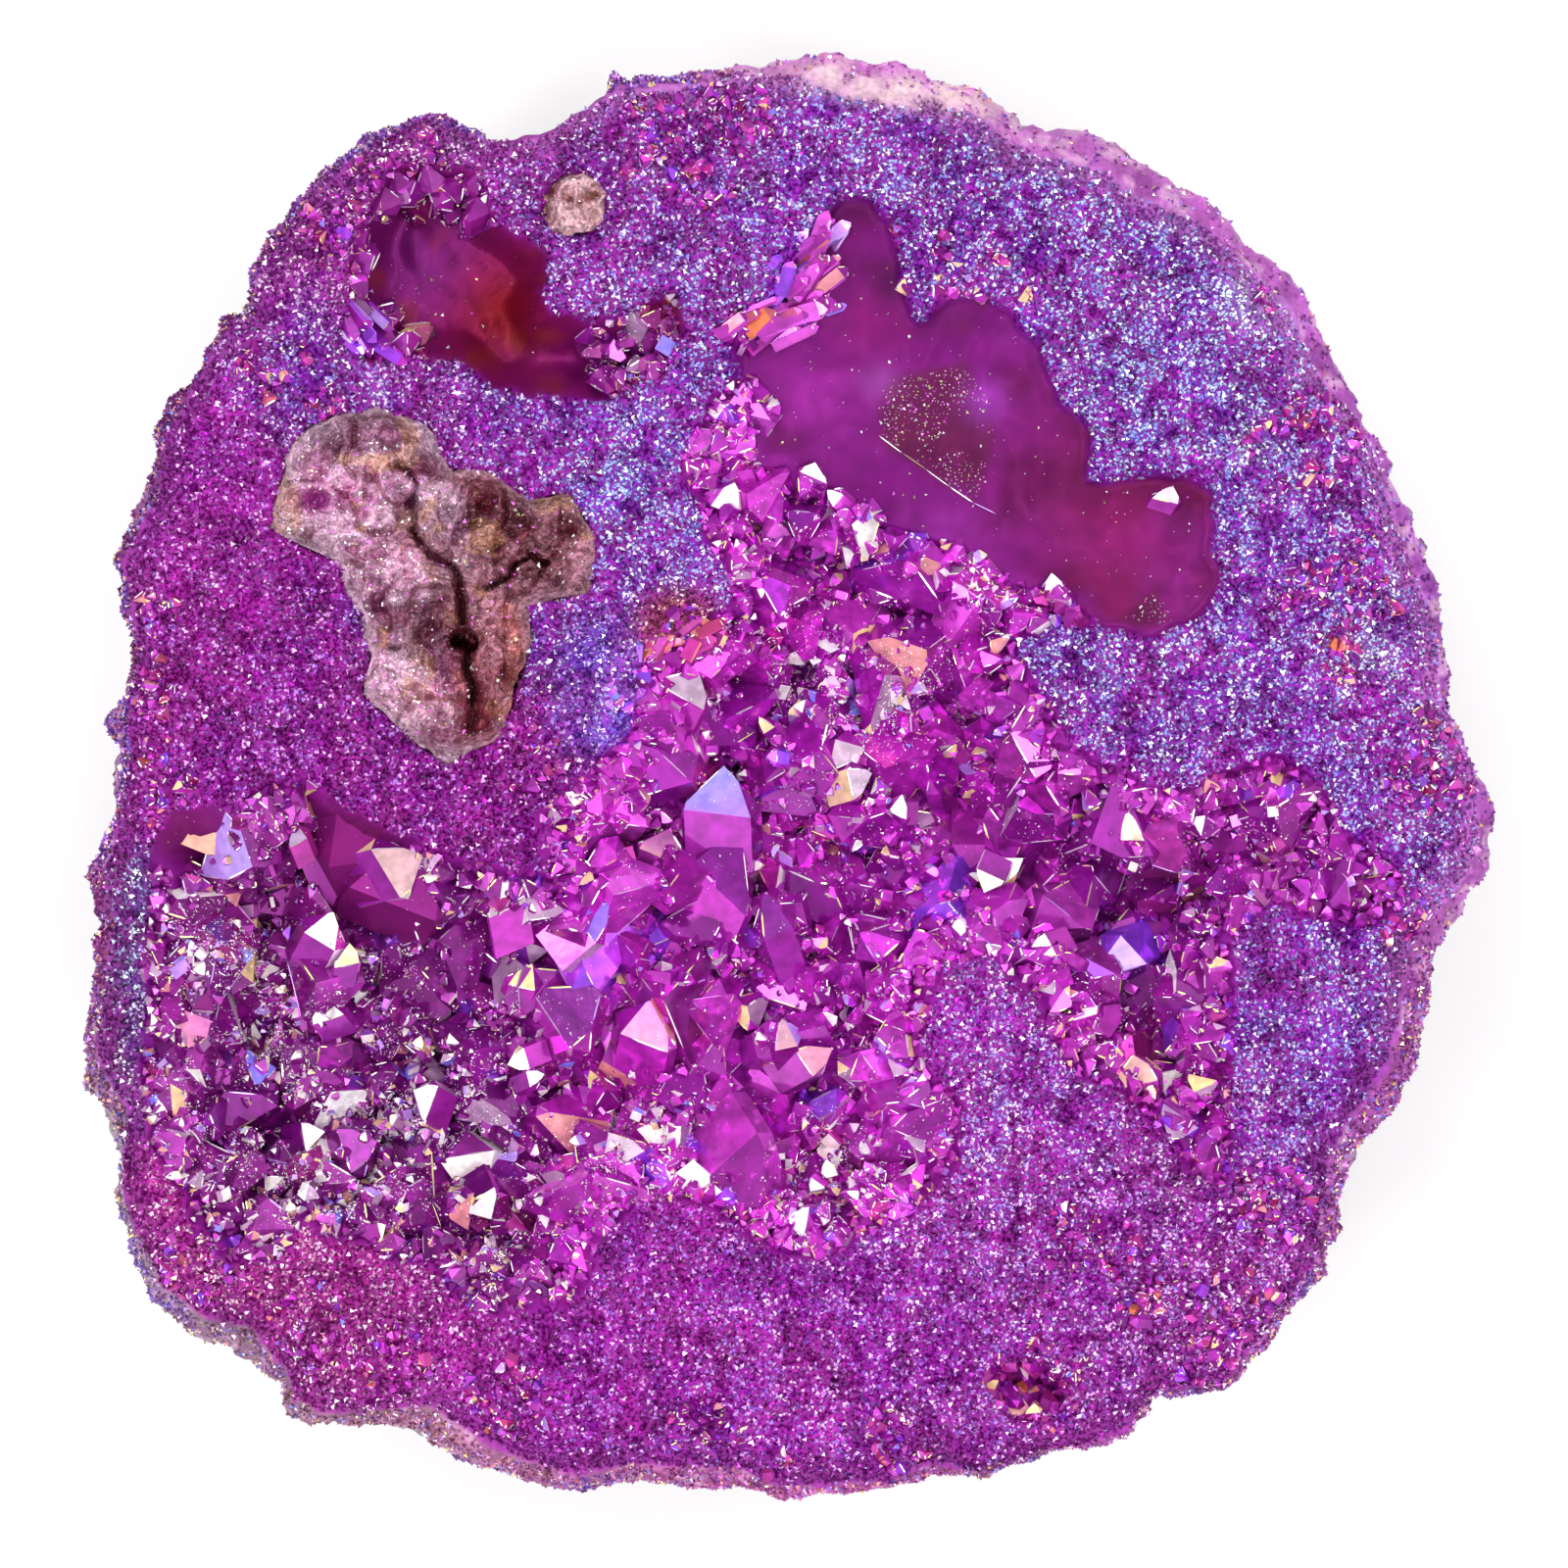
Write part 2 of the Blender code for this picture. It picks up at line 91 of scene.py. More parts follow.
stone_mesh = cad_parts["geode_matrix"].data
STONE_POINTS = np.array([vertex.co for vertex in stone_mesh.vertices]) / MM
outlines = face_outlines(stone_mesh, STONE_POINTS)
STONE_EDGE, MAIN_MOUTH, VUG_MOUTH, POCKET_MOUTH = outlines[:4]
SMALL = sorted(outlines[4:6], key=lambda loop: loop[:, 1].mean())
SOUTH_MOUTH, NODULE_MOUTH = SMALL
for title, loop in zip(("stone", "main", "vug", "pocket", "south", "nodule"),
                       (*outlines[:4], *SMALL)):
    print(f"{title}: {len(loop)} points, middle {loop.mean(axis=0).round(1)}")

# %% [markdown]
# ## Working on whole arrays
# Everything below is computed for all points at once. A few helpers do most of the work: a
# smooth step, random waves that are the same on every run, soft spots, and a map. The map is a
# grid of quarter-millimetre cells over the whole face. Distances, depths and colours are worked
# out once on it, and every piece then looks them up where it needs them.


# %% Steps and waves
def ease(value):
    """0 below 0, 1 above 1, and three squares less two cubes of the value between."""
    value = np.clip(value, 0.0, 1.0)
    return value * value * (3.0 - 2.0 * value)


def lattice(i, j, k, seed):
    """One number from 0 to 1 per whole-numbered place: large odd multiples, folded by shifts."""
    mixed = (i * 374761393 + j * 668265263 + k * 1440662683 + seed * 974634777) & 0xFFFFFFFF
    mixed = ((mixed ^ (mixed >> 13)) * 1274126177) & 0xFFFFFFFF
    return ((mixed ^ (mixed >> 16)) & 0xFFFF) / 65535.0


def waves(x, y, z, size, seed):
    """Soft random waves from -1 to 1: the eight corners of a lattice of this size, blended."""
    spots = [np.asarray(axis, float) / size for axis in (x, y, z)]
    lows = [np.floor(spot).astype(np.int64) for spot in spots]
    shares = [ease(spot - low) for spot, low in zip(spots, lows)]
    total = 0.0
    for corner in range(8):
        steps = [(corner >> axis) & 1 for axis in range(3)]
        weight = 1.0
        for step, share in zip(steps, shares):
            weight = weight * (share if step else 1.0 - share)
        total = total + weight * lattice(*[low + step for low, step in zip(lows, steps)], seed)
    return 2.0 * total - 1.0


def rough(x, y, z, size, seed, octaves=3):
    """Waves of halving size and halving height, added up."""
    layers = [waves(x, y, z, size / 2**n, seed + n) / 2**n for n in range(octaves)]
    return sum(layers)


# %% The map of the face
CELL, MAP_REACH = 0.25, 62.0
AXIS = np.arange(-MAP_REACH, MAP_REACH + 0.01, CELL)
MAP_X, MAP_Y = np.meshgrid(AXIS, AXIS, indexing="ij")


def rough_map(size, seed, octaves=3):
    """The rough waves over the whole map."""
    return rough(MAP_X, MAP_Y, 0, size, seed, octaves)


def bell(x, y, middle_x, middle_y, radius, power=1):
    """A soft spot: e to minus the squared distance over the squared radius. A higher power
    makes its top flatter."""
    return np.exp(-(((x - middle_x) ** 2 + (y - middle_y) ** 2) / radius**2) ** power)


def bell_map(table, power=1):
    """The map of all soft spots in a table of (x, y, radius): the highest one at each place."""
    return np.maximum.reduce([bell(MAP_X, MAP_Y, *row, power) for row in table])


def to_line(x, y, line):
    """Distance from places to a bent line: the nearest point of each stretch, clipped to it."""
    nearest = np.inf
    for (x0, y0), (x1, y1) in zip(line[:-1], line[1:]):
        along_x, along_y = x1 - x0, y1 - y0
        share = ((x - x0) * along_x + (y - y0) * along_y) / (along_x**2 + along_y**2)
        share = np.clip(share, 0.0, 1.0)
        away = np.hypot(x - x0 - share * along_x, y - y0 - share * along_y)
        nearest = np.minimum(nearest, away)
    return nearest


def inward(loop):
    """Distance from every place of the map to an outline, positive inside it. A ray that crosses
    an odd number of edges starts inside."""
    closed = np.concatenate([loop, loop[:1]])
    within = np.zeros(MAP_X.shape, bool)
    for (x0, y0), (x1, y1) in zip(closed[:-1], closed[1:]):
        if y0 != y1:
            crossing = x0 + (MAP_Y - y0) * (x1 - x0) / (y1 - y0)
            within ^= ((y0 > MAP_Y) != (y1 > MAP_Y)) & (MAP_X < crossing)
    nearest = to_line(MAP_X, MAP_Y, closed)
    return np.where(within, nearest, -nearest)


def look_up(field, x, y):
    """The map's value at any place, blended from the four cells around it."""
    u = np.clip((np.asarray(x) - AXIS[0]) / CELL, 0, len(AXIS) - 1.001)
    v = np.clip((np.asarray(y) - AXIS[0]) / CELL, 0, len(AXIS) - 1.001)
    i, j = u.astype(int), v.astype(int)
    s, t = u - i, v - j
    if field.ndim == 3:
        s, t = s[..., None], t[..., None]
    low = field[i, j] * (1 - s) + field[i + 1, j] * s
    high = field[i, j + 1] * (1 - s) + field[i + 1, j + 1] * s
    return low * (1 - t) + high * t


ragged = 0.42 * waves(MAP_X, MAP_Y, 0, 2.6, 1) + 0.3 * waves(MAP_X, MAP_Y, 0, 1.1, 2)
in_stone = inward(STONE_EDGE) + 0.5 * ragged
in_main = inward(MAIN_MOUTH) + ragged
in_pocket = inward(POCKET_MOUTH) + ragged
in_vug = inward(VUG_MOUTH) + 0.6 * ragged
in_south = inward(SOUTH_MOUTH) + 0.5 * ragged
in_nodule = inward(NODULE_MOUTH)
in_hollow = np.maximum.reduce([in_main, in_pocket, in_vug, in_south, in_nodule])
print("map:", MAP_X.shape, "cells; sawn face about",
      round(float(((in_stone > 0) & (in_hollow < 0)).sum()) * CELL**2), "mm2")

# %% [markdown]
# ## The relief
# One height for each place of the map is enough for the top of the stone, because no part of it
# hangs over. The saw left the face flat to a few tenths of a millimetre; the sand film, small
# pits and the worn rim are added to that. The hollows drop at their mouths and then run down
# more gently, as the crystal bed climbs their walls. In the cavern of the north-east the bed
# gives way to the tilted planes of a few wide crystals.

# %% Depths of the hollows and the relief of the face, in millimetres
WALL = 0.9                # height of the rough wall under a mouth's lip
SHELF, POCKET_FLOOR = 9.5, 5.4

# Calm places, where faces are wide and smooth and the walls are steep: (x, y, radius). The
# cavern is calm on the far side of a line from (-6, 25) to (24, 12).
CALM = [(-48.2, -4.2, 3.4), (15, 35, 5), (6.5, 40.5, 2.6), (5, 44.5, 2.2),
        (-34.5, -4.5, 4.6), (-24, 37.5, 6), (-30, 41, 4), (-20.5, 34.5, 4)]
beyond = 0.4 * (MAP_X + 6.0) + 0.92 * (MAP_Y - 25.0) + 0.8 * rough_map(3.0, 35, 2)
calm = ease(beyond / 2.5) * ease((MAP_Y - 7) / 2)
calm *= ease((MAP_X + 4.0 + 1.5 * rough_map(3.0, 37, 2)) / 2.5)
calm = np.maximum(calm, bell_map(CALM, 2))

# Planes of the cavern's wide crystals: (x, y, depth there, slope along x, slope along y).
PLANES = [(11, 24.5, 5.4, 0.06, 0.09), (11, 24.5, 5.4, -0.05, -0.10), (22, 22, 5.7, 0.11, 0.02),
          (3, 28, 5.4, -0.16, 0.02), (29, 15, 5.9, 0.12, -0.05), (11, 36, 5.0, 0.03, 0.17),
          (21, 31, 5.6, 0.10, 0.16)]

# Pits and bumps of the face: (x, y, radius, height).
SPOTS = [(-6.2, 51.2, 1.1, -1.6), (-12.9, 51.7, 1.3, -1.5), (-9.4, 51.6, 1.0, -1.1),
         (-12.9, 41.0, 1.3, -0.9), (22.2, -38.1, 1.7, -1.4), (24.4, -37.2, 1.2, -0.9),
         (27.6, -36.2, 0.9, -0.9), (-6.3, -51.2, 1.5, -2.2), (8.5, -53.4, 1.4, -1.6),
         (21.6, 50.2, 0.55, -1.3), (-47.5, 16.5, 2.4, -0.5), (-38.9, -44.6, 1.2, 0.6),
         (40.9, -17.8, 1.1, 0.5), (36.3, 33.7, 1.4, -0.6), (31.2, -46.5, 2.2, -0.8),
         (-13.0, 46.0, 0.5, -1.0), (-13.0, 44.6, 0.5, -1.2), (-13.0, 47.4, 0.45, -0.8),
         (16.8, 44.0, 0.6, -0.4), (24.0, 34.8, 0.9, -0.5), (-32.2, -47.0, 1.6, -0.5),
         (-14.8, 9.2, 1.2, 1.1), (-13.0, 7.2, 0.9, 0.9), (-15.4, 6.4, 0.9, 0.9),
         (-12.2, 9.4, 0.8, 0.8), (-14.2, 4.6, 0.8, 0.7), (-16.4, 8.0, 0.7, 0.6),
         (-9.4, 11.4, 1.8, 0.6), (34.6, -41.6, 1.8, 0.7), (44.8, 10.5, 1.6, 0.7),
         (46.5, 17.5, 1.4, 0.6), (43.0, 26.0, 1.6, 0.5), (38.5, 38.0, 1.3, 0.5)]


def well(inside, wall, floor, band):
    """Depth of a hollow: a wall just inside its mouth, then an eased slope down to the floor."""
    return wall * ease((inside + 0.25) / 0.9) + (floor - wall) * ease(inside / band)


relief = 0.10 * rough_map(1.4, 11) + 0.22 * rough_map(8.0, 15)
relief -= 0.9 * (1.0 - ease(in_stone / 1.8))
for x, y, radius, height in SPOTS:
    relief += height * bell(MAP_X, MAP_Y, x, y, radius)
east_band = ease((MAP_X - 37.5 + 0.01 * (MAP_Y - 10) ** 2) / 3) * ease((MAP_Y - 6) / 6)
relief += east_band * 0.55 * rough(MAP_X * 1.6, MAP_Y * 0.8, 0, 2.6, 21)
planes = [-(depth + along_x * (MAP_X - x) + along_y * (MAP_Y - y))
          for x, y, depth, along_x, along_y in PLANES]
in_planes = ease((beyond + 7.0) / 9.0) * ease((MAP_X + 9) / 6) * ease((MAP_Y - 4) / 6)
floor = (SHELF + 0.8 * rough_map(5.0, 31)) * (1.0 - in_planes)
floor -= np.maximum.reduce(planes) * in_planes
relief -= well(in_main, WALL + 0.9 * in_planes, floor, 8.5 - 3.0 * in_planes)
relief -= well(in_pocket, WALL + 0.5 * calm, POCKET_FLOOR + 0.9 * rough_map(4.0, 41), 3.4)
for inside, wall, bottom, band in ((in_vug, 4.0, 9.0, 1.5), (in_south, 1.5, 4.5, 2.0),
                                   (in_nodule, 1.0, 3.0, 1.5)):
    relief -= well(inside, wall, bottom, band)
print("relief from", round(float(relief[in_stone > 0].min()), 2), "to",
      round(float(relief[in_stone > 0].max()), 2), "mm")

# %% [markdown]
# ## Colours
# The metal film has no pigment. It is a few hundred nanometres thick, so each thickness and each
# slope throws back a different colour: blue where it is thick, violet, magenta, then peach and
# gold where it thins out. Colours are written as sRGB hex and turned linear by one function.
# Over the face they are blended from soft patches, each a place where the film changes.


# %% Colour helpers and the film's patches
def linear(code):
    """sRGB hex to linear: a straight line up to 0.04, and a power of 2.4 above it."""
    parts = np.array([int(code[i:i + 2], 16) for i in (1, 3, 5)]) / 255.0
    return np.where(parts <= 0.04045, parts / 12.92, ((parts + 0.055) / 1.055) ** 2.4)


def mix(first, second, share):
    """Blend two colours by a share for each place. A colour is a hex code or an array."""
    first, second = [linear(colour) if isinstance(colour, str) else colour
                     for colour in (first, second)]
    share = np.asarray(share)[..., None]
    return first * (1.0 - share) + second * share


def layered(film, *layers):
    """Lay further colours over a first one. layers: pairs of a colour and its share."""
    for colour, share in layers:
        film = mix(film, colour, share)
    return film


def blended(shares, colours):
    """Several colours blended: the sum of share times colour, over the sum of the shares."""
    total, weight = 0.0, 1e-6
    for share, colour in zip(shares, colours):
        share = share[..., None] + 1e-5
        total, weight = total + share * colour, weight + share
    return total / weight


# The sand's ground colour and its glints: (x, y, radius, ground, glint, share of glints). The
# glint colours, up to near white, are painted highlights on a share of the grains' faces.
FILM = [
    (24, 36, 20, "#8018A0", "#ACB2FF", 0.62), (2, 50, 13, "#8618A0", "#ACACFF", 0.54),
    (42, 2, 14, "#8818A2", "#B0ACFF", 0.57), (44, -20, 10, "#861AA2", "#ACA8FF", 0.58),
    (-12, 28, 9, "#8416A0", "#ACA8FF", 0.58), (-18, 38, 8, "#861898", "#B4A6FC", 0.56),
    (-36, 10, 11, "#8E0C8E", "#C88CF8", 0.36), (-47, 22, 8, "#9A149C", "#D494F0", 0.38),
    (-34, 42, 8, "#861A8E", "#DCA4C8", 0.44), (-12, 52, 8, "#86188E", "#BCA4F4", 0.48),
    (8, -47, 16, "#96149C", "#C294FC", 0.44), (-14, -47, 14, "#98149C", "#C48CFA", 0.40),
    (-36, -43, 11, "#A01C8E", "#EEA6C8", 0.42), (30, -40, 11, "#901A98", "#CCA4F4", 0.50),
    (16, -28, 9, "#9C1CA4", "#BCA8FF", 0.52), (-38, 32, 5, "#7C1AA0", "#A8B0FF", 0.56),
    (37.5, 38, 2.2, "#9878C0", "#F0FCFF", 0.9), (36.8, 26.5, 1.4, "#8C60B8", "#E8F8FF", 0.8),
    (-14.2, 7.4, 3.0, "#7A3EBE", "#B4A8FF", 0.5), (-9, 11.5, 2.2, "#9A4060", "#E8A070", 0.25),
    (-51, -14, 4.0, "#5E2C80", "#B4C0E8", 0.45), (-52, -22, 3.5, "#6A2A84", "#C8B8E0", 0.45),
    (46, 10, 2.2, "#8C50B0", "#DCE8FF", 0.8), (-33, 12.5, 2.0, "#6C28A8", "#B0C8FF", 0.7),
    (-21.5, 10.5, 2.2, "#7424A8", "#A8B8FF", 0.65), (-13.5, 24, 3.0, "#7A24B0", "#B4D0FF", 0.75),
]
patches = [bell(MAP_X, MAP_Y, *row[:3]) for row in FILM]
ground, glint = [blended(patches, [linear(row[column]) for row in FILM]) for column in (3, 4)]
glint_share = blended(patches, [row[5] for row in FILM])[..., 0]
ground = mix(ground, "#B22C9C", 0.35 * ease(0.5 + rough_map(3.2, 51)))
ground = ground * (1.0 + 0.3 * rough_map(1.8, 57, 2))[..., None]
pale = np.exp(-(((MAP_X - 8.5) / 8.5) ** 2 + ((MAP_Y + 0.12 * MAP_X - 56.5) / 2.4) ** 2) ** 2)
pale *= ease(0.9 + 0.9 * rough_map(2.2, 105, 2))
near_rim = 1.0 - ease((in_stone - 0.4) / 2.2)
north_east = ease((MAP_X + MAP_Y - 18) / 25)
ground = layered(ground, (mix("#963C96", "#C47CC4", north_east), 0.6 * near_rim),
                 ("#E4C6C6", 0.9 * pale))
saw_marks = waves(MAP_X, MAP_Y * 0.06, 0, 0.9, 61)
bare = ease((0.7 * rough_map(1.6, 71) - 0.42) / 0.12)
glint_share = glint_share * (1.0 + 0.35 * saw_marks) * (1.0 - 0.6 * near_rim)
glint_share = glint_share * (1.08 + 0.5 * rough_map(1.3, 65, 2)) * (1.0 - 0.85 * bare)
print("glints cover", round(float(glint_share[(in_stone > 0) & (in_hollow < 0)].mean()), 3))

# %% [markdown]
# ## From arrays to meshes
# Blender stores a mesh as flat lists: point places, the corners of all faces in a row, and where
# each face starts in that row. Filling those lists from arrays takes a fraction of a second for
# hundreds of thousands of faces. Colour travels with the mesh as an attribute named `film`, on
# the points where it changes softly, and on the corners where each facet has its own. Besides
# the film's own colours it carries the painted highlights, glints and shade described below.


# %% The mesh helper
def make_piece(name, points, polygons, film, material, replaced=(), smooth=False,
               second=None):
    """Build one piece: points in millimetres, groups of faces with equal corner counts, a colour
    for each point or each corner, its material and the CAD nodes it stands for.
    second: another material, and which faces take it."""
    mesh = bpy.data.meshes.new(name)
    mesh.vertices.add(len(points))
    mesh.vertices.foreach_set("co", (points * MM).astype(np.float32).ravel())
    corners = np.concatenate([group.ravel() for group in polygons])
    sizes = np.concatenate([np.full(len(group), group.shape[1]) for group in polygons])
    mesh.loops.add(len(corners))
    mesh.loops.foreach_set("vertex_index", corners.astype(np.int32))
    mesh.polygons.add(len(sizes))
    mesh.polygons.foreach_set("loop_start", (np.cumsum(sizes) - sizes).astype(np.int32))
    mesh.update(calc_edges=True)
    mesh.shade_smooth() if smooth else mesh.shade_flat()
    domain = "POINT" if len(film) == len(points) else "CORNER"
    layer = mesh.color_attributes.new(name="film", type="FLOAT_COLOR", domain=domain)
    rgba = np.ones((len(film), 4), np.float32)
    rgba[:, :3] = film
    layer.data.foreach_set("color", rgba.ravel())
    mesh.materials.append(material)
    if second:
        mesh.materials.append(second[0])
        mesh.polygons.foreach_set("material_index", second[1].astype(np.int32))
    piece = bpy.data.objects.new(name, mesh)
    bpy.context.scene.collection.objects.link(piece)
    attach(piece, "root")
    if replaced:
        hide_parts(*replaced)
    print(f"{name}: {len(points)} points, {int((sizes - 2).sum())} triangles")


def add_node(tree, kind, settings=None, links=None):
    """Add a node, set its properties and input values by name, and link {input: (node, output)}."""
    made = tree.nodes.new(kind)
    for name, value in (settings or {}).items():
        if isinstance(name, int) or name in made.inputs:
            made.inputs[name].default_value = value
        else:
            setattr(made, name, value)
    for name, (source, output) in (links or {}).items():
        tree.links.new(source.outputs[output], made.inputs[name])
    return made


def start_material(name, shader):
    """A new material and its Principled shader. Constants go on the shader's own sockets."""
    material = bpy.data.materials.new(name)
    material.use_nodes = True
    material.node_tree.nodes.clear()
    surface = add_node(material.node_tree, "ShaderNodeBsdfPrincipled", shader)
    add_node(material.node_tree, "ShaderNodeOutputMaterial", links={"Surface": (surface, "BSDF")})
    return material, surface


def coated(name, roughness, metallic, specular, size_mm, low, high, detail=1.0, bump=0.0,
           height_mm=0.05, **more):
    """A material in the film attribute's colour, made a little darker and lighter by noise of a
    real size, with a bump from the same noise where one is wanted."""
    material, surface = start_material(name, {
        "Roughness": roughness, "Metallic": metallic, "Specular IOR Level": specular, **more})
    tree = material.node_tree
    film = add_node(tree, "ShaderNodeAttribute", {"attribute_name": "film"})
    place = add_node(tree, "ShaderNodeTexCoord")
    noise = add_node(tree, "ShaderNodeTexNoise", {"Scale": 1.0 / (size_mm * MM), "Detail": detail},
                     {"Vector": (place, "Object")})
    spread = add_node(tree, "ShaderNodeMapRange", {"From Min": 0.3, "From Max": 0.7,
                                                   "To Min": low, "To Max": high},
                      {"Value": (noise, "Fac")})
    tint = add_node(tree, "ShaderNodeVectorMath", {"operation": "SCALE"},
                    {"Vector": (film, "Color"), "Scale": (spread, "Result")})
    tree.links.new(tint.outputs["Vector"], surface.inputs["Base Color"])
    if bump:
        bumps = add_node(tree, "ShaderNodeBump", {
            "Strength": bump, "Distance": height_mm * MM}, {"Height": (noise, "Fac")})
        tree.links.new(bumps.outputs["Normal"], surface.inputs["Normal"])
    return material


# %% [markdown]
# ## Materials
# - *Coated chalcedony*: the fine-grained quartz of the stone under the film. Ground by the saw,
#   so it is matt, and the film lends it some metal gloss.
# - *Coated sand*: grains with grown faces under the same film, so each is a small mirror.
# - *Coated quartz*: clear crystal, half covered by the film. Light passes in and is tinted, so
#   it transmits a little, with the refractive index of quartz, 1.544.
# - *Coated small quartz*: the film covers the smaller points of the druse whole, so no light
#   passes.
# - *Painted highlight film*: faces, specks and grains coloured white, gold, peach or pale blue
#   as painted highlights, the glints of a lamp in the film.
# - *Etched quartz*: the film on the wide calm faces, where later growth left a fine frosting.
# - *Bright film*: the rounded edges of crystals, painted white and gold as highlight lines, and
#   metallic so that they throw a lamp back as well.
# - *Ochre mineral*: brown iron-stained calcite crust under a thin film, matt with a fine sparkle.

# %% The materials, by what they are
# Name, roughness, metallic, specular level; size of the noise, and what it multiplies by.
stone_finish = coated("coated_chalcedony", 0.46, 0.25, 0.25, 0.5, 0.72, 1.2, detail=2.0, bump=0.6)
sand_finish = coated("coated_sand", 0.23, 0.75, 0.4, 0.3, 0.85, 1.15)
quartz_finish = coated("coated_quartz", 0.1, 0.42, 0.5, 1.4, 0.68, 1.2, detail=2.0, bump=0.14,
                       **{"IOR": 1.544, "Transmission Weight": 0.15})
small_finish = coated("coated_small_quartz", 0.11, 0.55, 0.6, 0.8, 0.7, 1.26)
highlight_finish = coated("painted_highlight_film", 0.16, 0.12, 0.7, 0.9, 0.78, 1.22)
etched_finish = coated("etched_quartz", 0.4, 0.4, 0.12, 2.2, 0.84, 1.14, detail=3.0, bump=0.5,
                       height_mm=0.07, IOR=1.544)
bright_finish = coated("bright_film", 0.3, 0.7, 0.7, 0.4, 0.9, 1.1)
ochre_finish = coated("ochre_mineral", 0.3, 0.45, 0.6, 0.6, 0.5, 1.5, detail=3.0, bump=1.0,
                      height_mm=0.45)
print("materials:", [material.name for material in bpy.data.materials])

# %% [markdown]
# ## The stone
# The top of the stone is a square grid bent into a disc and stretched to the outline, which
# keeps its cells nearly square everywhere, with no pole in the middle. Its border is then carried
# down the side in rows: first over the worn slope of the rim, then down the round cortex, and at
# last in over the flat foot to one point. So the stone is a single closed skin.


# %% Outline helpers
def reach(loop, middle, angles):
    """Distance from the middle to a star-shaped outline in each direction.

    The ray in that direction is cut with the straight edge between the two corners around it."""
    out = loop - np.asarray(middle)
    out = out[np.argsort(np.arctan2(out[:, 1], out[:, 0]))]
    corner_angles = np.arctan2(out[:, 1], out[:, 0])
    wrapped = (angles + math.pi) % (2 * math.pi) - math.pi
    after = np.searchsorted(corner_angles, wrapped) % len(out)
    a, b = out[after - 1], out[after]
    ray_x, ray_y = np.cos(wrapped), np.sin(wrapped)
    edge_x, edge_y = b[:, 0] - a[:, 0], b[:, 1] - a[:, 1]
    return (a[:, 0] * edge_y - a[:, 1] * edge_x) / (ray_x * edge_y - ray_y * edge_x)


def disc_grid(cells):
    """A square grid bent into the unit disc. In each quarter between the diagonals one coordinate
    becomes the radius, and the other shares out a right angle."""
    line = np.linspace(-1.0, 1.0, cells + 1)
    u, v = np.meshgrid(line, line, indexing="ij")
    steep = np.abs(v) > np.abs(u)
    radius, other = np.where(steep, v, u), np.where(steep, u, v)
    share = np.divide(other, radius, out=np.zeros_like(radius), where=radius != 0)
    angle = share * math.pi / 4
    x, y = radius * np.cos(angle), radius * np.sin(angle)
    return np.where(steep, y, x), np.where(steep, x, y)


def grid_faces(cells):
    """The quads of the grid, counter-clockwise from above, and its border in the same sense."""
    index = np.arange((cells + 1) ** 2).reshape(cells + 1, cells + 1)
    quads = np.stack([index[:-1, :-1], index[1:, :-1], index[1:, 1:], index[:-1, 1:]], axis=-1)
    border = np.concatenate([index[:-1, 0], index[-1, :-1], index[:0:-1, -1], index[0, :0:-1]])
    return quads.reshape(-1, 4), border


def closed_skin(top, cells, rows):
    """Join a top grid and the rings under it into one closed skin that ends in a single point.
    Between one ring and the next below it lie quads that face out."""
    quads, upper = grid_faces(cells)
    faces, count = [quads], len(top)
    for row in rows:
        lower = count + np.arange(len(row))
        faces.append(np.stack([upper, lower, np.roll(lower, -1), np.roll(upper, -1)], axis=-1))
        upper, count = lower, count + len(row)
    fan = np.stack([upper, np.full(len(upper), count), np.roll(upper, -1)], axis=-1)
    points = np.concatenate([top, *rows, rows[-1].mean(axis=0, keepdims=True)])
    return points, [np.concatenate(faces), fan]


# %% The widest section, read from the ring of points just under the rim
RING_DEPTHS, RING_INSIDE = (1.5, 4.6), 45.0
x, y, z = STONE_POINTS.T
ring = (z > FACE - RING_DEPTHS[1]) & (z < FACE - RING_DEPTHS[0]) & (np.hypot(x, y) > RING_INSIDE)
WIDEST = np.unique(np.round(STONE_POINTS[ring], 2), axis=0)
WIDEST = WIDEST[np.argsort(np.arctan2(WIDEST[:, 1], WIDEST[:, 0]))]
print("widest section:", len(WIDEST), "points, from", round(float(WIDEST[:, 2].min()), 1),
      "to", round(float(WIDEST[:, 2].max()), 1), "mm high")

# %% The top of the stone
CELLS = 224
HIGHEST = 0.7             # the relief may stand this far over the sawn face
disc_x, disc_y = disc_grid(CELLS)
angle = np.arctan2(disc_y, disc_x).ravel()
far = reach(STONE_EDGE, (0, 0), angle)
edge_x, edge_y = far * np.cos(angle), far * np.sin(angle)
far = far + (0.3 * waves(edge_x, edge_y, 0, 2.4, 5) + 0.22 * waves(edge_x, edge_y, 0, 1.1, 6))
far = far * np.hypot(disc_x, disc_y).ravel()
x, y = far * np.cos(angle), far * np.sin(angle)
under_sand = 0.14 * ease(1.0 - look_up(in_hollow, x, y))
top = np.column_stack([x, y, FACE + (np.minimum(look_up(relief, x, y), HIGHEST) - under_sand)])
print("top:", len(top), "points, highest", round(float(top[:, 2].max()), 2), "mm")

# %% The side and the foot
# What the broken edge adds to the model's plain outline: (direction, width in degrees, mm).
BUMPS = [(2, 3, -0.9), (18, 7, 0.4), (22, 3, 0.4), (31, 4, -0.7), (37.5, 3, 0.3),
         (109.5, 6, 2.4), (118, 3, -0.4), (150, 3, 0.5), (167, 2.5, -0.4), (171, 2, -0.6),
         (175.5, 2.5, 1.0), (183, 2.5, -0.9), (192, 3, 0.6), (196, 3, -0.3), (203.5, 2.5, 0.6),
         (210, 1.5, -0.4), (225, 3, 1.0), (234, 2, -0.4), (245, 5, 0.9), (258, 2, -0.5),
         (263, 6, 0.8), (290, 5, -0.4), (299, 6, -0.5), (321, 2, 0.4), (331, 4, 0.9),
         (340, 3, 0.5), (354, 2, 0.4)]
SLOPE_ROWS, SIDE_ROWS, FOOT_ROWS = 7, 27, 6
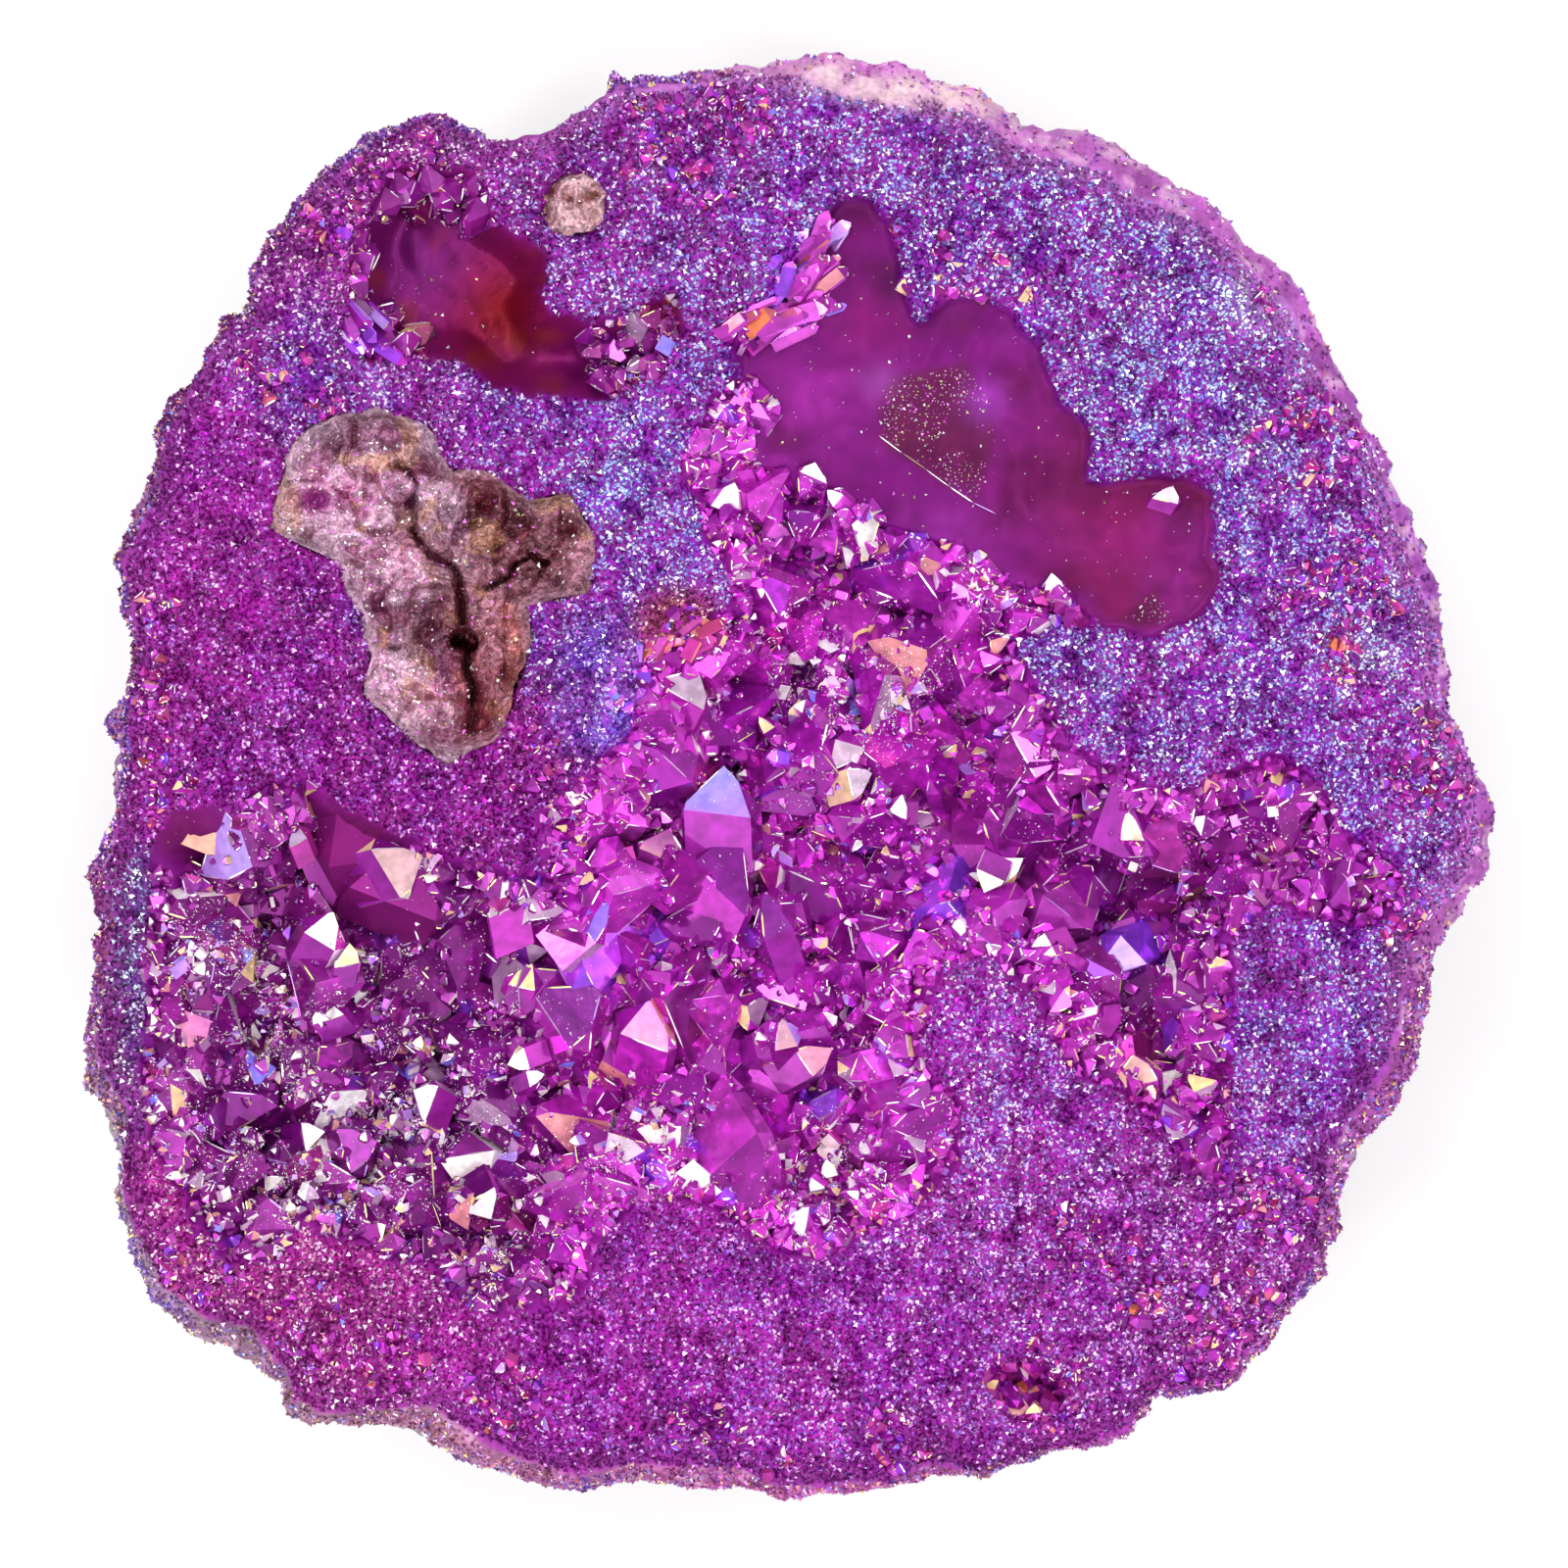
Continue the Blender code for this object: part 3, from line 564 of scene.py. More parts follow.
FOOT_SHARE, UPRIGHT_FROM = 0.56, 30.0     # foot's share of the width; the side stands above this
STEPS_ROUND, SMOOTHED_OVER = 720, 24      # for the smooth outline low on the side
NOTCH = 0.4                               # no column may stray more than this from its neighbours


def turn_bell(turn, direction, width):
    """A bell curve of the angle from a direction, all in degrees."""
    return np.exp(-((((turn - direction + 180.0) % 360.0 - 180.0) / width) ** 2))


border = grid_faces(CELLS)[1]
edge_x, edge_y, edge_z = top[border].T
around = np.arctan2(edge_y, edge_x)
wide = reach(WIDEST[:, :2], (0, 0), around) + 0.15
for direction, width, height in BUMPS:
    wide += height * turn_bell(np.degrees(around), direction, width)
order = np.argsort(around)
usual = np.median([np.roll(wide[order], shift) for shift in (-2, -1, 0, 1, 2)], axis=0)
wide[order] = np.clip(wide[order], usual - NOTCH, usual + NOTCH)
wide_z = np.interp(around, np.arctan2(WIDEST[:, 1], WIDEST[:, 0]), WIDEST[:, 2],
                   period=2 * math.pi)
even = np.linspace(-math.pi, math.pi, STEPS_ROUND, endpoint=False)
wide_even = np.interp(even, around, wide, period=2 * math.pi)
smooth = np.mean([np.roll(wide_even, shift)
                  for shift in range(-SMOOTHED_OVER, SMOOTHED_OVER + 1)], axis=0)
soft = np.interp(around, even, smooth, period=2 * math.pi)
rows, start = [], np.hypot(edge_x, edge_y)
for share in np.arange(1, SLOPE_ROWS + 1) / SLOPE_ROWS:
    rows.append((start + (wide - start) * share**0.8, edge_z + (wide_z - edge_z) * share**1.25))
for share in np.arange(1, SIDE_ROWS + 1) / SIDE_ROWS:
    height = wide_z * (1.0 - share)
    thin = 1.0 - (1.0 - FOOT_SHARE) * (1.0 - np.minimum(height / UPRIGHT_FROM, 1.0)) ** 2.3
    rows.append(((wide + (soft - wide) * ease((wide_z - height) / 16.0)) * thin, height))
rings = []
for step, (radius, height) in enumerate(rows):
    x, y = radius * np.cos(around), radius * np.sin(around)
    worn = ease(height / 2.5) * min(1.0, (step + 1) / 3)
    lumps = 0.9 * rough(x, y, height, 9.0, 81, 2) * ease((FACE - 3.5 - height) / 6)
    grit = 0.5 * rough(x, y, height, 2.8, 85, 3) + 0.45 * rough(x, y, height, 1.3, 89, 2)
    scale = 1.0 + (lumps + grit) * worn / radius
    rings.append(np.column_stack([x * scale, y * scale, height]))
skin = np.stack(rings)
for step in range(1, FOOT_ROWS + 1):
    shrink = 1.0 - 0.97 * step / FOOT_ROWS
    rings.append(skin[-1] * (shrink, shrink, 0.0))
stone_points, stone_faces = closed_skin(top, CELLS, rings)
print("side:", len(rings), "rings of", len(border), "points, foot included")

# %% The stone's colours
# The frosted faces in the cavern, by their corners.
SPARKLY = [np.array([(7.8, 31.7), (13.7, 32.8), (16.2, 30.3), (16.5, 25.1), (14.7, 21.8),
                     (7.1, 27.2)]),
           np.array([(26.8, 12.4), (29.3, 15.2), (30.6, 12.2)])]

# Soft spots of another colour in the hollows: (x, y, radius, colour). The bright violet one at
# (15.6, 30.0) is a painted reflection on a smooth face, and the near-black one at (7.8, 39.0)
# is painted shade beside the blades; the others are plain darker and lighter spots.
FILM_AND_PAINTED_LIGHT_SPOTS = [(7.8, 39.0, 1.6, "#40083E"), (7.0, 31.6, 1.5, "#8A3C92"), (15.6, 30.0, 1.6, "#9A38AC"),
        (2.0, 30.0, 3.0, "#8C2088"), (26.5, 18.0, 3.0, "#7E1058"), (12.5, 19.5, 3.0, "#86248A"),
        (6.0, 36.0, 3.0, "#7A1064"), (-19.0, 34.0, 1.5, "#5C0A30"), (-32.5, 38.5, 1.2, "#8C4C84"),
        (-28.5, 43.0, 1.4, "#500C40")]

# The film on the broken rim: (direction in degrees, width in degrees, colour).
RIM_FILM = [(60, 30, "#B058B0"), (85, 12, "#BC6CB4"), (15, 25, "#9A4AA8"), (335, 25, "#A04C9C"),
            (300, 25, "#A85AA4"), (265, 25, "#B05C9C"), (235, 18, "#A0748C"),
            (215, 12, "#8E8094"), (190, 20, "#94408C"), (160, 22, "#7C3078"),
            (130, 18, "#84348A"), (108, 12, "#8A3C8C")]


def rim_colour(x, y):
    """Colours blended round the rim: each counts by a bell curve of the angle to it."""
    turn = np.degrees(np.arctan2(y, x))
    return blended([turn_bell(turn, direction, width) for direction, width, _ in RIM_FILM],
                   [linear(code) for _, _, code in RIM_FILM])


def inward_at(loops, x, y):
    """The map's distance to the nearest of some outlines, read at these places."""
    return look_up(np.maximum.reduce([inward(loop) for loop in loops]), x, y)


def hollow_film(x, y):
    """The film in the calm hollows: magenta in the cavern, crimson in the pocket, with a painted
    reflection and a painted shade among its soft spots.
    """
    frosted = inward_at(SPARKLY, x, y) + 0.5 * rough(x, y, 0, 2.0, 96, 2)
    film = layered("#700F6C", ("#701050", ease((x - 10.0 - 0.5 * (y - 24)) / 18.0)),
                   ("#7E1A7C", 0.6 * ease(rough(x, y, 0, 6.0, 93, 2))),
                   ("#54083C", 0.6 * ease(rough(x, y, 0, 4.5, 95, 2))),
                   ("#6C1056", 0.8 * ease((-16 - x) / 8.0)),
                   ("#58143C", 0.85 * ease((frosted + 0.7) / 1.4)),
                   *[(code, 0.75 * bell(x, y, *row)) for *row, code in FILM_AND_PAINTED_LIGHT_SPOTS])
    crimson = layered("#80146C", ("#780C14", bell(x, y, -23.5, 37.5, 5.29)),
                      ("#6A1464", bell(x, y, -30, 41, 4)),
                      ("#90301C", 0.5 * ease(rough(x, y, 0, 2.2, 98, 2) * 1.6 - 0.3)))
    return mix(film, crimson, ease((look_up(in_pocket, x, y) + 0.5) / 0.5))


x, y, z = stone_points.T
in_calm = np.maximum(look_up(calm, x, y), look_up(in_pocket, x, y) > 0)
depth = np.maximum(0.0, -look_up(relief, x, y))
# The lining is painted lighter the deeper it lies, from 0.9 to 1.2 times its colour: painted fill
# light that offsets the shade of the hollows.
bed = mix("#8E1E92", hollow_film(x, y), in_calm) * (0.9 + 0.3 * ease(depth / 11.0))[:, None]
hollow = ease((look_up(in_hollow, x, y) + 0.1) / 0.8) * (z > 12) * (z <= FACE + 1)
film = mix(look_up(ground, x, y), np.minimum(bed, 1.0), hollow)

# Outside, the cortex is grey-lilac, and the vapour reached only the upper part of the side.
cortex = layered("#A2909F", ("#7C6A78", ease(0.5 + 0.9 * rough(x, y, z, 3.0, 91))),
                 ("#4A3848", ease((rough(x, y, z, 1.5, 95) - 0.55) / 0.2)))
lilac = layered(rim_colour(x, y) * (1.0 + 0.3 * rough(x, y, z, 2.2, 99))[:, None],
                ("#82308A", 0.6 * ease((rough(x, y, z, 1.9, 101) - 0.1) / 0.3)),
                ("#E0B4D4", 0.5 * ease((rough(x, y, z, 1.5, 103) - 0.3) / 0.3)),
                ("#E4C6C6", 0.9 * look_up(pale, x, y + 1.0)))
spray = ease((z - 24.0 + 5.0 * rough(x, y, z, 7.0, 97)) / 14.0)
film[len(top):] = mix(cortex, lilac, spray)[len(top):]
lining = np.concatenate([hollow[group].mean(axis=1) > 0.5 for group in stone_faces])
make_piece("geode_stone", stone_points, stone_faces, film, stone_finish,
           ("geode_matrix",), smooth=True, second=(etched_finish, lining))

# %% [markdown]
# ## Growing thousands of copies
# Sand grains and quartz points are each one small shape, repeated at many places with its own
# size, lean and turn. All copies are made in one step: every copy has three unit axes, and its
# points are the shape's points measured out along them.

# %% Copies, places and colours
rng = np.random.default_rng(23)
UP = (0.0, 0.0, 1.0)


def leaning(way, spin):
    """Three unit axes for each copy: two across, turned by its spin, and one along its way."""
    steep = np.abs(way[:, 2:]) > 0.9
    side = np.cross(way, np.where(steep, (1.0, 0.0, 0.0), UP))
    side /= np.linalg.norm(side, axis=1, keepdims=True)
    other = np.cross(way, side)
    c, s = np.cos(spin)[:, None], np.sin(spin)[:, None]
    return side * c + other * s, other * c - side * s, way


def toward(lean, turn):
    """Unit vectors that lean from +Z by one angle, toward another around it, in radians."""
    return np.stack([np.sin(lean) * np.cos(turn), np.sin(lean) * np.sin(turn),
                     np.cos(lean)], axis=-1)


def copies(shape, groups, spots, axes):
    """One copy of a shape per spot: a point is its spot plus its x, y, z along the three axes."""
    across, over, along = axes
    points = (shape[..., :1] * across[:, None] + shape[..., 1:2] * over[:, None]
              + shape[..., 2:3] * along[:, None] + spots[:, None])
    first = shape.shape[-2] * np.arange(len(spots))
    faces = [(group[None] + first[:, None, None]).reshape(-1, group.shape[1])
             for group in groups]
    return points.reshape(-1, 3), faces


def corner_film(groups, tall, low, high):
    """A colour for each corner of each copy: the facet's low and high colours, blended by how
    far up the shape (0 to 1) the corner sits."""
    out, first = [], 0
    for group in groups:
        share = tall[group][None, :, :, None]
        facet = slice(first, first + len(group))
        blend = low[:, facet, None] * (1.0 - share) + high[:, facet, None] * share
        out.append(blend.reshape(-1, 3))
        first += len(group)
    return np.concatenate(out)


def jittered(step, wanted):
    """Places on a shaken square grid, kept where the map's field is above zero."""
    line = np.arange(-60.0, 60.0, step)
    x, y = [(axis + rng.uniform(-0.5, 0.5, axis.shape) * step).ravel()
            for axis in np.meshgrid(line, line, indexing="ij")]
    keep = look_up(wanted, x, y) > 0
    return x[keep], y[keep]


def on_relief(x, y, lift=0.0):
    """Points on the relief at these places, or this far above it."""
    return np.column_stack([x, y, FACE + look_up(relief, x, y) + lift])


# %% [markdown]
# ## The sand
# Titanium film over fine quartz sugar: grains a third of a millimetre across, each with a few
# flat faces turned its own way. A grain here is a pyramid on three sides. One face in a few is
# painted in the film's blue or lilac, up to near white, as a painted glint of a lamp, and the
# rest stay magenta. On the real crust such glints are the film throwing back the lamps.


# %% A grain of sand, and the crust made of them
GRAIN_SIDES = np.array([(0, 1, 3), (1, 2, 3), (2, 0, 3), (0, 2, 1)])
GRAIN_TALL = np.array([0.0, 0.0, 0.0, 1.0])


def grains(size):
    """Pyramids on three uneven sides, with radius and height in proportion to each size."""
    count = len(size)
    turn = np.arange(3) * 2 * math.pi / 3 + rng.uniform(-0.5, 0.5, (count, 3))
    radius = size[:, None] * rng.uniform(0.75, 1.25, (count, 3))
    shape = np.zeros((count, 4, 3))
    shape[:, :3, 0] = radius * np.cos(turn)
    shape[:, :3, 1] = radius * np.sin(turn)
    shape[:, :3, 2] = -0.45 * size[:, None]
    shape[:, 3, :2] = size[:, None] * rng.uniform(-0.35, 0.35, (count, 2))
    shape[:, 3, 2] = size * rng.uniform(0.375, 0.825, count)
    return shape


def lay_grains(name, spots, up, size, base, shine, share, material, spread=0.3,
               parts=1):
    """Grains at spots, standing on the surface with this normal, give or take a spread. Each
    face takes the base colour, or by the given share the shine colour, which is a painted glint,
    and its own brightness."""
    way = up + rng.normal(0.0, 1.0, spots.shape) * spread
    way /= np.linalg.norm(way, axis=1, keepdims=True)
    shape = grains(size)
    axes = leaning(way, rng.uniform(0, 2 * math.pi, len(size)))
    shiny = rng.random((len(size), 4)) < np.reshape(share, (-1, 1))
    dull = base[:, None] * rng.uniform(0.5, 1.3, (len(size), 4, 1))
    bright = shine[:, None] * rng.uniform(0.65, 2.4, (len(size), 4, 1))
    face = np.clip(np.where(shiny[..., None], bright, dull), 0.0, 1.0)
    for part in range(parts):
        pick = slice(part, None, parts)
        points, faces = copies(shape[pick], [GRAIN_SIDES], spots[pick],
                               [axis[pick] for axis in axes])
        film = corner_film([GRAIN_SIDES], GRAIN_TALL, face[pick], face[pick])
        title = name if parts == 1 else f"{name}_{part + 1}"
        make_piece(title, points, faces, film, material)


SAND_STEP = 0.285
x, y = jittered(SAND_STEP, np.minimum.reduce([in_stone + 0.1, 0.25 - in_hollow, 0.5 - pale]))
spots = np.column_stack([x, y, FACE + np.minimum(look_up(relief, x, y), HIGHEST)])
lay_grains("sand", spots, UP, rng.uniform(0.17, 0.30, len(x)), look_up(ground, x, y),
           look_up(glint, x, y), look_up(glint_share, x, y), sand_finish, parts=2)

# %% [markdown]
# ## Quartz points
# A grown quartz crystal is a six-sided prism with a pyramid of three large and three small
# faces. All six slope at 52 degrees from flat. The large ones meet at the tip, and the small
# ones only cut the edges between them. If the prism faces under the small ones stand further
# out by the right amount, all shoulders lie at one height and every face is exactly flat, so
# each can act as a mirror. Leaning, stretching and shearing keep them flat.

# %% The shape of a quartz point
FACET = math.radians(51.8)
SLOPE = math.tan(FACET)


def quartz(radius, length, small, steep=1.0):
    """Sixteen points per crystal: tip, ends of the three ridges, six shoulders and six feet.

    radius: from the axis to a large face's shoulder; length: of the prism below the shoulders;
    small: three numbers from 1 (all six faces alike) to 2 (only three faces)."""
    count = len(radius)
    rise = SLOPE * steep
    shape = np.zeros((count, 16, 3))
    shape[:, 0, 2] = rise
    for k in range(3):
        face, cut = math.radians(120 * k), math.radians(120 * k + 60)
        out = 2.0 * (small[:, k] - 1.0)
        shape[:, 1 + k] = np.stack([out * math.cos(cut), out * math.sin(cut),
                                    rise * (2.0 - small[:, k])], axis=-1)
        before = -(small[:, k - 1] - 0.5) / math.sin(math.pi / 3)
        after = (small[:, k] - 0.5) / math.sin(math.pi / 3)
        for place, aside in ((4 + 2 * k, before), (5 + 2 * k, after)):
            shape[:, place, 0] = math.cos(face) - aside * math.sin(face)
            shape[:, place, 1] = math.sin(face) + aside * math.cos(face)
    shape[:, 10:] = shape[:, 4:10]
    shape[:, 10:, 2] = -(length / radius)[:, None]
    return shape * radius[:, None, None]


LARGE = np.array([(0, 3, 4, 5, 1), (0, 1, 6, 7, 2), (0, 2, 8, 9, 3)])
SMALL_FACES = np.array([(1, 5, 6), (2, 7, 8), (3, 9, 4)])
PRISM = np.array([(4 + k, 10 + k, 10 + (k + 1) % 6, 4 + (k + 1) % 6) for k in range(6)])
FOOT = np.array([(15, 14, 13, 12, 11, 10)])
QUARTZ = [LARGE, SMALL_FACES, PRISM, FOOT]
FACETS = 13
QUARTZ_TALL = np.array([1.0] + [0.8] * 3 + [0.45] * 6 + [0.0] * 6)

# %% [markdown]
# ## How the film colours a crystal
# Two crystals side by side can be quite different: the film's colour follows its thickness, and
# that follows how each one stood in the vapour. Each crystal therefore gets one main colour, and
# each of its faces drifts from it. Now and then a face is painted white, gold, peach, blue or
# mauve instead: a painted highlight of a lamp, and for the grey-mauve ones a painted reflection
# of the studio.

# %% The film's colours on quartz
TINTS = {"magenta": "#9A2294", "orchid": "#AA3AA6", "deep": "#7A107E", "plum": "#881A8A",
         "pink": "#C04CBC", "violet": "#8038CC", "blue": "#7478F0", "lilac": "#AE8AE4",
         "peach": "#D88E88", "mauve": "#AC88AA", "gold": "#F0CE8C", "white": "#FFF8F2",
         "rose": "#A82A84", "crimson": "#84164E", "orange": "#C8683C", "dark": "#560864",
         "wine": "#6A125C"}
NAMES = list(TINTS)
COLOURS = np.array([linear(code) for code in TINTS.values()]) * 1.6
print(len(NAMES), "named colours")


def choose(weights, size):
    """Random colours from a dictionary of names and weights, as an array of the given size."""
    names = list(weights)
    share = np.array([weights[name] for name in names], float)
    pick = rng.choice(len(names), size=size, p=share / share.sum())
    return COLOURS[[NAMES.index(name) for name in names]][pick]


BODY = {"magenta": 34, "orchid": 16, "deep": 18, "plum": 24, "pink": 3, "violet": 3, "rose": 2}
# The two tables below are painted light: white and gold for a lamp's highlight, grey-mauve for the
# studio's reflection, and peach, blue, lilac and pink for highlights tinted by the film.
PALE_PAINTED_HIGHLIGHTS = {"white": 12, "lilac": 5, "mauve": 5, "gold": 3, "blue": 2}
PAINTED_HIGHLIGHTS = {"peach": 14, "mauve": 26, "gold": 14, "white": 30, "blue": 4, "lilac": 7, "pink": 5}


def facet_colours(count, body, highlight_weights, share, contrast=0.16, tone=1.0):
    """Low and high colour of each facet, and which facets are bright. A facet has the crystal's
    own colour, drifting from face to face, or for a share of the faces a painted highlight instead.
    body and catch (the painted highlights): weights of named colours. tone: how bright the whole
    crystal is."""
    main, drift = choose(body, (count, 1)), choose(body, (count, FACETS))
    blend = rng.uniform(0.0, 0.7, (count, FACETS, 1))
    high = (main * (1 - blend) + drift * blend) * rng.normal(1.0, contrast, (count, FACETS, 1))
    high = high * np.broadcast_to(tone, count)[:, None, None]
    # Bright facets are painted highlights: their colour stands for a lamp's glint.
    bright = rng.random((count, FACETS, 1)) < np.broadcast_to(share, count)[:, None, None]
    highlight_colour = choose(highlight_weights, (count, FACETS)) * rng.uniform(0.5, 0.85, (count, FACETS, 1))
    low = high * rng.uniform(0.74, 1.0, (count, FACETS, 1))
    low = np.where(bright, 0.6 * highlight_colour + 0.4 * high, low)
    high = np.where(bright, highlight_colour, high)
    return np.clip(low, 0.002, 1.0), np.clip(high, 0.002, 1.0), bright[..., 0]


dressed = []      # the points of the crystals whose edges and faces get light later on


def dress(name, shape, spots, axes, colours, ceiling, material=quartz_finish, replaced=(),
          lit=True):
    """Make one piece of all these crystals; the facets marked as bright get the material of painted
    highlights. Every crystal whose highest point is above the ceiling is lowered by just that much."""
    low, high, bright = colours
    points, faces = copies(shape, QUARTZ, spots, axes)
    points = points.reshape(-1, 16, 3)
    points[..., 2] -= np.maximum(0.0, points[..., 2].max(axis=1, keepdims=True) - ceiling)
    ends = np.cumsum([len(group) for group in QUARTZ])
    marks = np.concatenate([marked.ravel() for marked in np.split(bright, ends[:-1], axis=1)])
    make_piece(name, points.reshape(-1, 3), faces, corner_film(QUARTZ, QUARTZ_TALL, low, high),
               material, replaced, second=(highlight_finish, marks))
    if lit:
        dressed.append(points)


# %% [markdown]
# ## Where crystals grow
# Every hollow is lined. Large points stand apart, smaller ones fill between them, and the
# smallest cover what is left, down to a fifth of a millimetre. On the walls they lean toward
# the open middle. The cavern, the crimson pocket and a spot in the west are calm: their faces
# are centimetres wide and smooth, with hardly any small crystals on them.

# %% The way out from the walls
lined = np.maximum(in_main, in_pocket)
out_x, out_y = np.gradient(lined, CELL)
slope = np.hypot(out_x, out_y) + 1e-6
out_x, out_y = out_x / slope, out_y / slope
print("lined:", round(float((lined > 0).sum()) * CELL**2), "mm2 of hollows")


def crystals(name, spots, way, radius, body, highlight_weights, share, stand=(0.5, 1.6), bury=0.9, tone=1.0,
             ceiling=FACE - 0.4, **others):
    """Quartz points on these spots, along these ways. stand: how far they stand out, in radii;
    bury: how far they go on below the spot."""
    count = len(spots)
    way = way / np.linalg.norm(way, axis=1, keepdims=True)
    length = radius * rng.uniform(*stand, count)
    shape = quartz(radius, length + bury * radius, rng.uniform(1.06, 1.75, (count, 3)),
                   rng.uniform(0.75, 1.05, count))
    shape[..., 0] *= rng.uniform(0.75, 1.25, (count, 1))
    shape[..., 2] += shape[..., 0] * rng.uniform(-0.25, 0.25, (count, 1)) * 1.05
    colours = facet_colours(count, body, highlight_weights, share, tone=tone)
    axes = leaning(way, rng.uniform(0, 2 * math.pi, count))
    dress(name, shape, spots + way * length[:, None], axes, colours, ceiling, **others)


def grow(name, step, wanted, sizes, body, highlight_weights, share, lean=0.45, wall_lean=0.9, tone=1.0,
         **others):
    """Crystals on the relief, on a shaken grid with this step where the wanted map is above
    zero. sizes: smallest and largest radius. They lean at random, and near a wall also away from
    it. The share of bright faces and the tone may be maps."""
    x, y = jittered(step, wanted)
    radius = rng.uniform(*sizes, len(x))
    share, tone = [look_up(field, x, y) if np.ndim(field) else field for field in (share, tone)]
    turn = rng.uniform(0, 2 * math.pi, len(x))
    tilt = np.abs(rng.normal(0.0, lean, len(x)))
    near = wall_lean * (1.0 - ease(look_up(lined, x, y) / 5.0))
    way = np.column_stack([np.tan(tilt) * np.cos(turn) + near * look_up(out_x, x, y),
                           np.tan(tilt) * np.sin(turn) + near * look_up(out_y, x, y),
                           np.ones(len(x))])
    crystals(name, on_relief(x, y), way, radius, body, highlight_weights, share, tone=tone, **others)


# %% The druse of the main hollow, in four sizes
# Places where the film lies thin and silvery, so that many more faces and specks there are
# painted bright as highlights: (x, y, radius).
SILVER = [(-42, -24, 8), (-38, -33, 7), (-30, -27, 7), (-46, -16, 5), (-26, -35, 5.5),
          (-33, -14, 4), (6, 6, 5), (-12, -30, 4), (4, -33, 4)]
silver = bell_map(SILVER) * ease(0.6 + rough_map(3.0, 203))
tone = 1.06 - 0.44 * ease((-14 - MAP_X) / 12) - 0.2 * ease((MAP_X - 16) / 8)
catching = 1.0 - 0.45 * ease((MAP_X - 16) / 8)
busy = 0.3 - calm             # above zero where the bed is covered; large crystals keep clear
# Name, step of the grid, smallest and largest radius, distance from the mouth, share of bright
# faces, how far they stand out in radii, material and the CAD node they stand for.
for title, step, sizes, inset, share, stand, finish, replaced in (
        ("large", 4.8, (1.9, 3.1), 1.6, 0.05, (0.3, 1.4), quartz_finish, ("main_druse",)),
        ("middle", 2.7, (1.0, 1.8), 0.7, 0.07, (0.7, 2.2), small_finish, ()),
        ("small", 1.45, (0.5, 0.9), 0.3, 0.1, (0.8, 2.8), small_finish, ()),
        ("fine", 0.8, (0.2, 0.42), 0.15, 0.18, (0.8, 2.4), small_finish, ())):
    wanted = np.minimum(in_main - inset, busy - (0.25 if step > 2 else 0.0))
    grow(f"druse_{title}", step, wanted, sizes, BODY, PAINTED_HIGHLIGHTS,
         share * catching * (1.0 + 3.4 * silver), tone=tone, stand=stand, lit=title != "fine",
         material=finish, replaced=replaced)

# %% Small points on the large ones
CORNERS = np.array([(0, 3, 4), (0, 4, 5), (0, 5, 1), (0, 1, 6), (0, 6, 7), (0, 7, 2), (0, 2, 8),
                    (0, 8, 9), (0, 9, 3), (1, 5, 6), (2, 7, 8), (3, 9, 4)])


def scatter(groups, count, weigh):
    """Random places on the crystals' faces: the triangles are drawn by area times a weight."""
    corners = np.concatenate([points[:, CORNERS].reshape(-1, 3, 3) for points in groups])
    edge_a, edge_b = corners[:, 1] - corners[:, 0], corners[:, 2] - corners[:, 0]
    out = np.cross(edge_a, edge_b)
    area = np.linalg.norm(out, axis=1) / 2
    out /= np.linalg.norm(out, axis=1, keepdims=True)
    weight = area * weigh(corners.mean(axis=1), out)
    pick = rng.choice(len(area), size=count, p=weight / weight.sum())
    s, t = rng.random((2, count, 1))
    s, t = np.where(s + t > 1, 1 - s, s), np.where(s + t > 1, 1 - t, t)
    return corners[pick, 0] + edge_a[pick] * s + edge_b[pick] * t, out[pick]


def in_clumps(middle, out):
    """More where slow noise is high, and only on faces that look up."""
    near = look_up(silver, middle[:, 0], middle[:, 1])
    return (out[:, 2] > 0.2) * (0.1 + ease(rough(*middle.T, 5.0, 211, 2) * 2.0) + 2.0 * near)


RIDERS = 3400
spots, out = scatter(dressed[:2], RIDERS, in_clumps)
x, y = spots[:, 0], spots[:, 1]
way = out + rng.normal(0.0, 0.5, out.shape)
radius = 0.14 + 0.42 * rng.random(len(spots)) ** 2
crystals("druse_riders", spots, way, radius, BODY, PALE_PAINTED_HIGHLIGHTS, 0.14 + 0.4 * look_up(silver, x, y),
         stand=(0.2, 1.6), tone=look_up(tone, x, y), material=small_finish)

# %% [markdown]
# ## Faces that lie flat to the eye
# A few crystals are remembered one by one, because a large face of theirs lies nearly level and
# carries a colour of its own. The white, gold and peach ones are painted highlights, the pale
# grey-mauve ones painted reflections of the studio. For these the face comes first: its middle,
# the way its tip points, and its tilt. The crystal behind it follows, since a large face always
# stands at 52 degrees from the axis.


